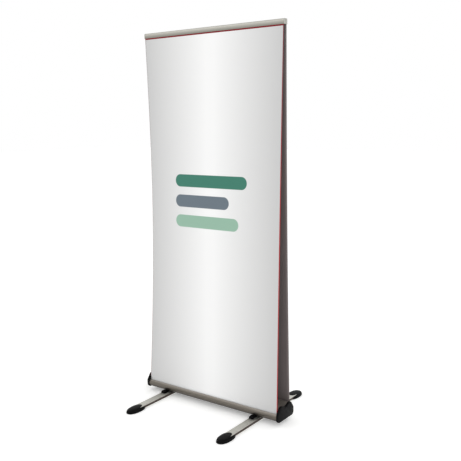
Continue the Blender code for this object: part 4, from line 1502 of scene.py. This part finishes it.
@dataclass
class TelescopicPole:
    """The three-section pole, its socket, clamps, cam levers and head.

    Attributes:
        tube_edge: Rounding of the tubes' ends.
        clamp_edge: Rounding of the collars and levers.
        end_edge: Rounding of the socket and the head.
    """

    tube_edge: float = 0.0003
    clamp_edge: float = 0.0006
    end_edge: float = 0.0005

    def build(self) -> None:
        """Dresses the pole's pieces."""
        dress_node("pole_socket", BLACK_PLASTIC, self.end_edge)
        for section in ("lower", "middle", "upper"):
            dress_node(f"pole_{section}_tube", TUBE_METAL, self.tube_edge)
        for clamp in ("lower", "middle"):
            dress_node(f"{clamp}_clamp_collar", BLACK_PLASTIC, self.clamp_edge)
            dress_node(f"{clamp}_lever", BLACK_PLASTIC, self.clamp_edge)
            dress_node(f"{clamp}_lever_pin", STEEL)
        dress_node("pole_head", BLACK_PLASTIC, self.end_edge)


# ---- studio ---------------------------------------------------------------------------------------
@dataclass
class Studio:
    """Floor, soft light and camera.

    Attributes:
        camera_place: Where the camera stands.
        yaw: How far it is turned left of straight ahead, in degrees.
        pitch: How far it looks down, in degrees.
        roll: How far it leans, in degrees.
        lens: Focal length in millimetres on the sensor width below.
        sensor: That sensor width in millimetres.
        shift: Sideways and upward shift of the picture, as shares of its width.
        floor_size: Side of the square floor.
        floor_drop: How far it lies below the feet.
        floor_tint: Colour of the floor.
        floor_shade: Colour that it wanders to.
        floor_glow: Strength of its own light, which keeps the shadows soft.
        world_light: Strength of the even light all round.
        lamp_size: Side of each square lamp.
    """

    camera_place: Corner = (2.110, -2.752, 1.496)
    yaw: float = 35.98
    pitch: float = 11.45
    roll: float = -0.63
    lens: float = 52.96
    sensor: float = 36.0
    shift: tuple[float, float] = (-0.0030, 0.0638)
    floor_size: float = 60.0
    floor_drop: float = 0.0002
    floor_tint: Colour = srgb(250, 250, 249)
    floor_shade: Colour = srgb(238, 238, 236)
    floor_glow: float = 0.30
    world_light: float = 0.82
    lamp_size: float = 2.0

    def build(self) -> None:
        """Builds the whole studio."""
        self.build_camera()
        self.build_floor()
        self.build_world()
        self.add_lamp("key", (-2.6, -3.4, 3.6), 15.0)
        self.add_lamp("fill", (3.4, -1.6, 2.6), 13.0)
        self.add_lamp("back", (0.5, 3.8, 3.2), 18.0)
        bpy.context.scene.view_settings.view_transform = "Standard"

    def build_camera(self) -> None:
        """Places the camera."""
        yaw, pitch, roll = (math.radians(angle) for angle in (self.yaw, self.pitch, self.roll))
        ahead = Vector((-math.sin(yaw) * math.cos(pitch), math.cos(yaw) * math.cos(pitch), -math.sin(pitch)))
        level = Vector((math.cos(yaw), math.sin(yaw), 0.0))
        upright = level.cross(ahead)
        right = math.cos(roll) * level + math.sin(roll) * upright
        up = math.cos(roll) * upright - math.sin(roll) * level
        data = bpy.data.cameras.new("camera")
        data.lens, data.sensor_width = self.lens, self.sensor
        data.shift_x, data.shift_y = self.shift
        camera = bpy.data.objects.new("camera", data)
        turn = Matrix((right, up, -ahead)).transposed().to_4x4()
        camera.matrix_world = Matrix.Translation(self.camera_place) @ turn
        bpy.context.scene.collection.objects.link(camera)
        bpy.context.scene.camera = camera

    def build_floor(self) -> None:
        """Lays a plain pale floor just under the feet."""
        shape = bmesh.new()
        bmesh.ops.create_grid(shape, x_segments=1, y_segments=1, size=self.floor_size / 2)
        floor = mesh_object("floor", shape)
        floor.location.z = -self.floor_drop
        material, graph, shader = new_material("Studio floor")
        place = graph.add("ShaderNodeTexCoord").outputs["Object"]
        cloud = graph.add("ShaderNodeTexNoise", {"Vector": place, "Scale": 1.2, "Detail": 2.0}).outputs["Fac"]
        tint = graph.mix(graph.math("MULTIPLY", cloud, 0.04), self.floor_tint, self.floor_shade)
        graph.plug(shader.inputs["Base Color"], tint)
        graph.plug(shader.inputs["Emission Color"], tint)
        shader.inputs["Emission Strength"].default_value = self.floor_glow
        shader.inputs["Roughness"].default_value = 0.9
        shader.inputs["Specular IOR Level"].default_value = 0.1
        floor.data.materials.append(material)
        floor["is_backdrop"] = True

    def build_world(self) -> None:
        """Surrounds the stand with an even white light."""
        world = bpy.data.worlds.new("studio")
        world.use_nodes = True
        background = world.node_tree.nodes["Background"]
        background.inputs["Color"].default_value = WHITE
        background.inputs["Strength"].default_value = self.world_light
        graph = Graph(world.node_tree)
        seen = graph.add("ShaderNodeBackground", {"Color": WHITE, "Strength": 1.0})
        path = graph.add("ShaderNodeLightPath").outputs["Is Camera Ray"]
        both = graph.add("ShaderNodeMixShader", {0: path, 1: background.outputs[0], 2: seen.outputs[0]})
        graph.plug(world.node_tree.nodes["World Output"].inputs["Surface"], both.outputs[0])
        bpy.context.scene.world = world

    def add_lamp(self, name: str, place: Corner, power: float) -> None:
        """Adds a square soft lamp that points at the middle of the stand.

        Args:
            name: The lamp's name.
            place: Where it hangs.
            power: Its power in watts.
        """
        data = bpy.data.lights.new(name, "AREA")
        data.size, data.energy = self.lamp_size, power
        lamp = bpy.data.objects.new(name, data)
        lamp.location = place
        middle = (CAD_LOW + CAD_HIGH) / 2
        lamp.rotation_euler = (Vector(middle) - Vector(place)).to_track_quat("-Z", "Y").to_euler()
        bpy.context.scene.collection.objects.link(lamp)


def write_sizes() -> None:
    """Logs the visual model's box."""
    low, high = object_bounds()
    corners = [tuple(round(value, 4) for value in corner) for corner in (low, high)]
    LOG.info("visual box %s to %s", *corners)


def main() -> None:
    """Builds the studio and every part of the stand, in order."""
    logging.basicConfig(level=logging.INFO, format="%(message)s")
    Studio().build()
    Cassette().build()
    for side in Side:
        Roller(side).build()
        TopRail(side).build()
        BannerSheet(side).build()
    TelescopicPole().build()
    for hand in Hand:
        FoldingFoot(hand).build()
    write_sizes()


if __name__ == "__main__":
    main()
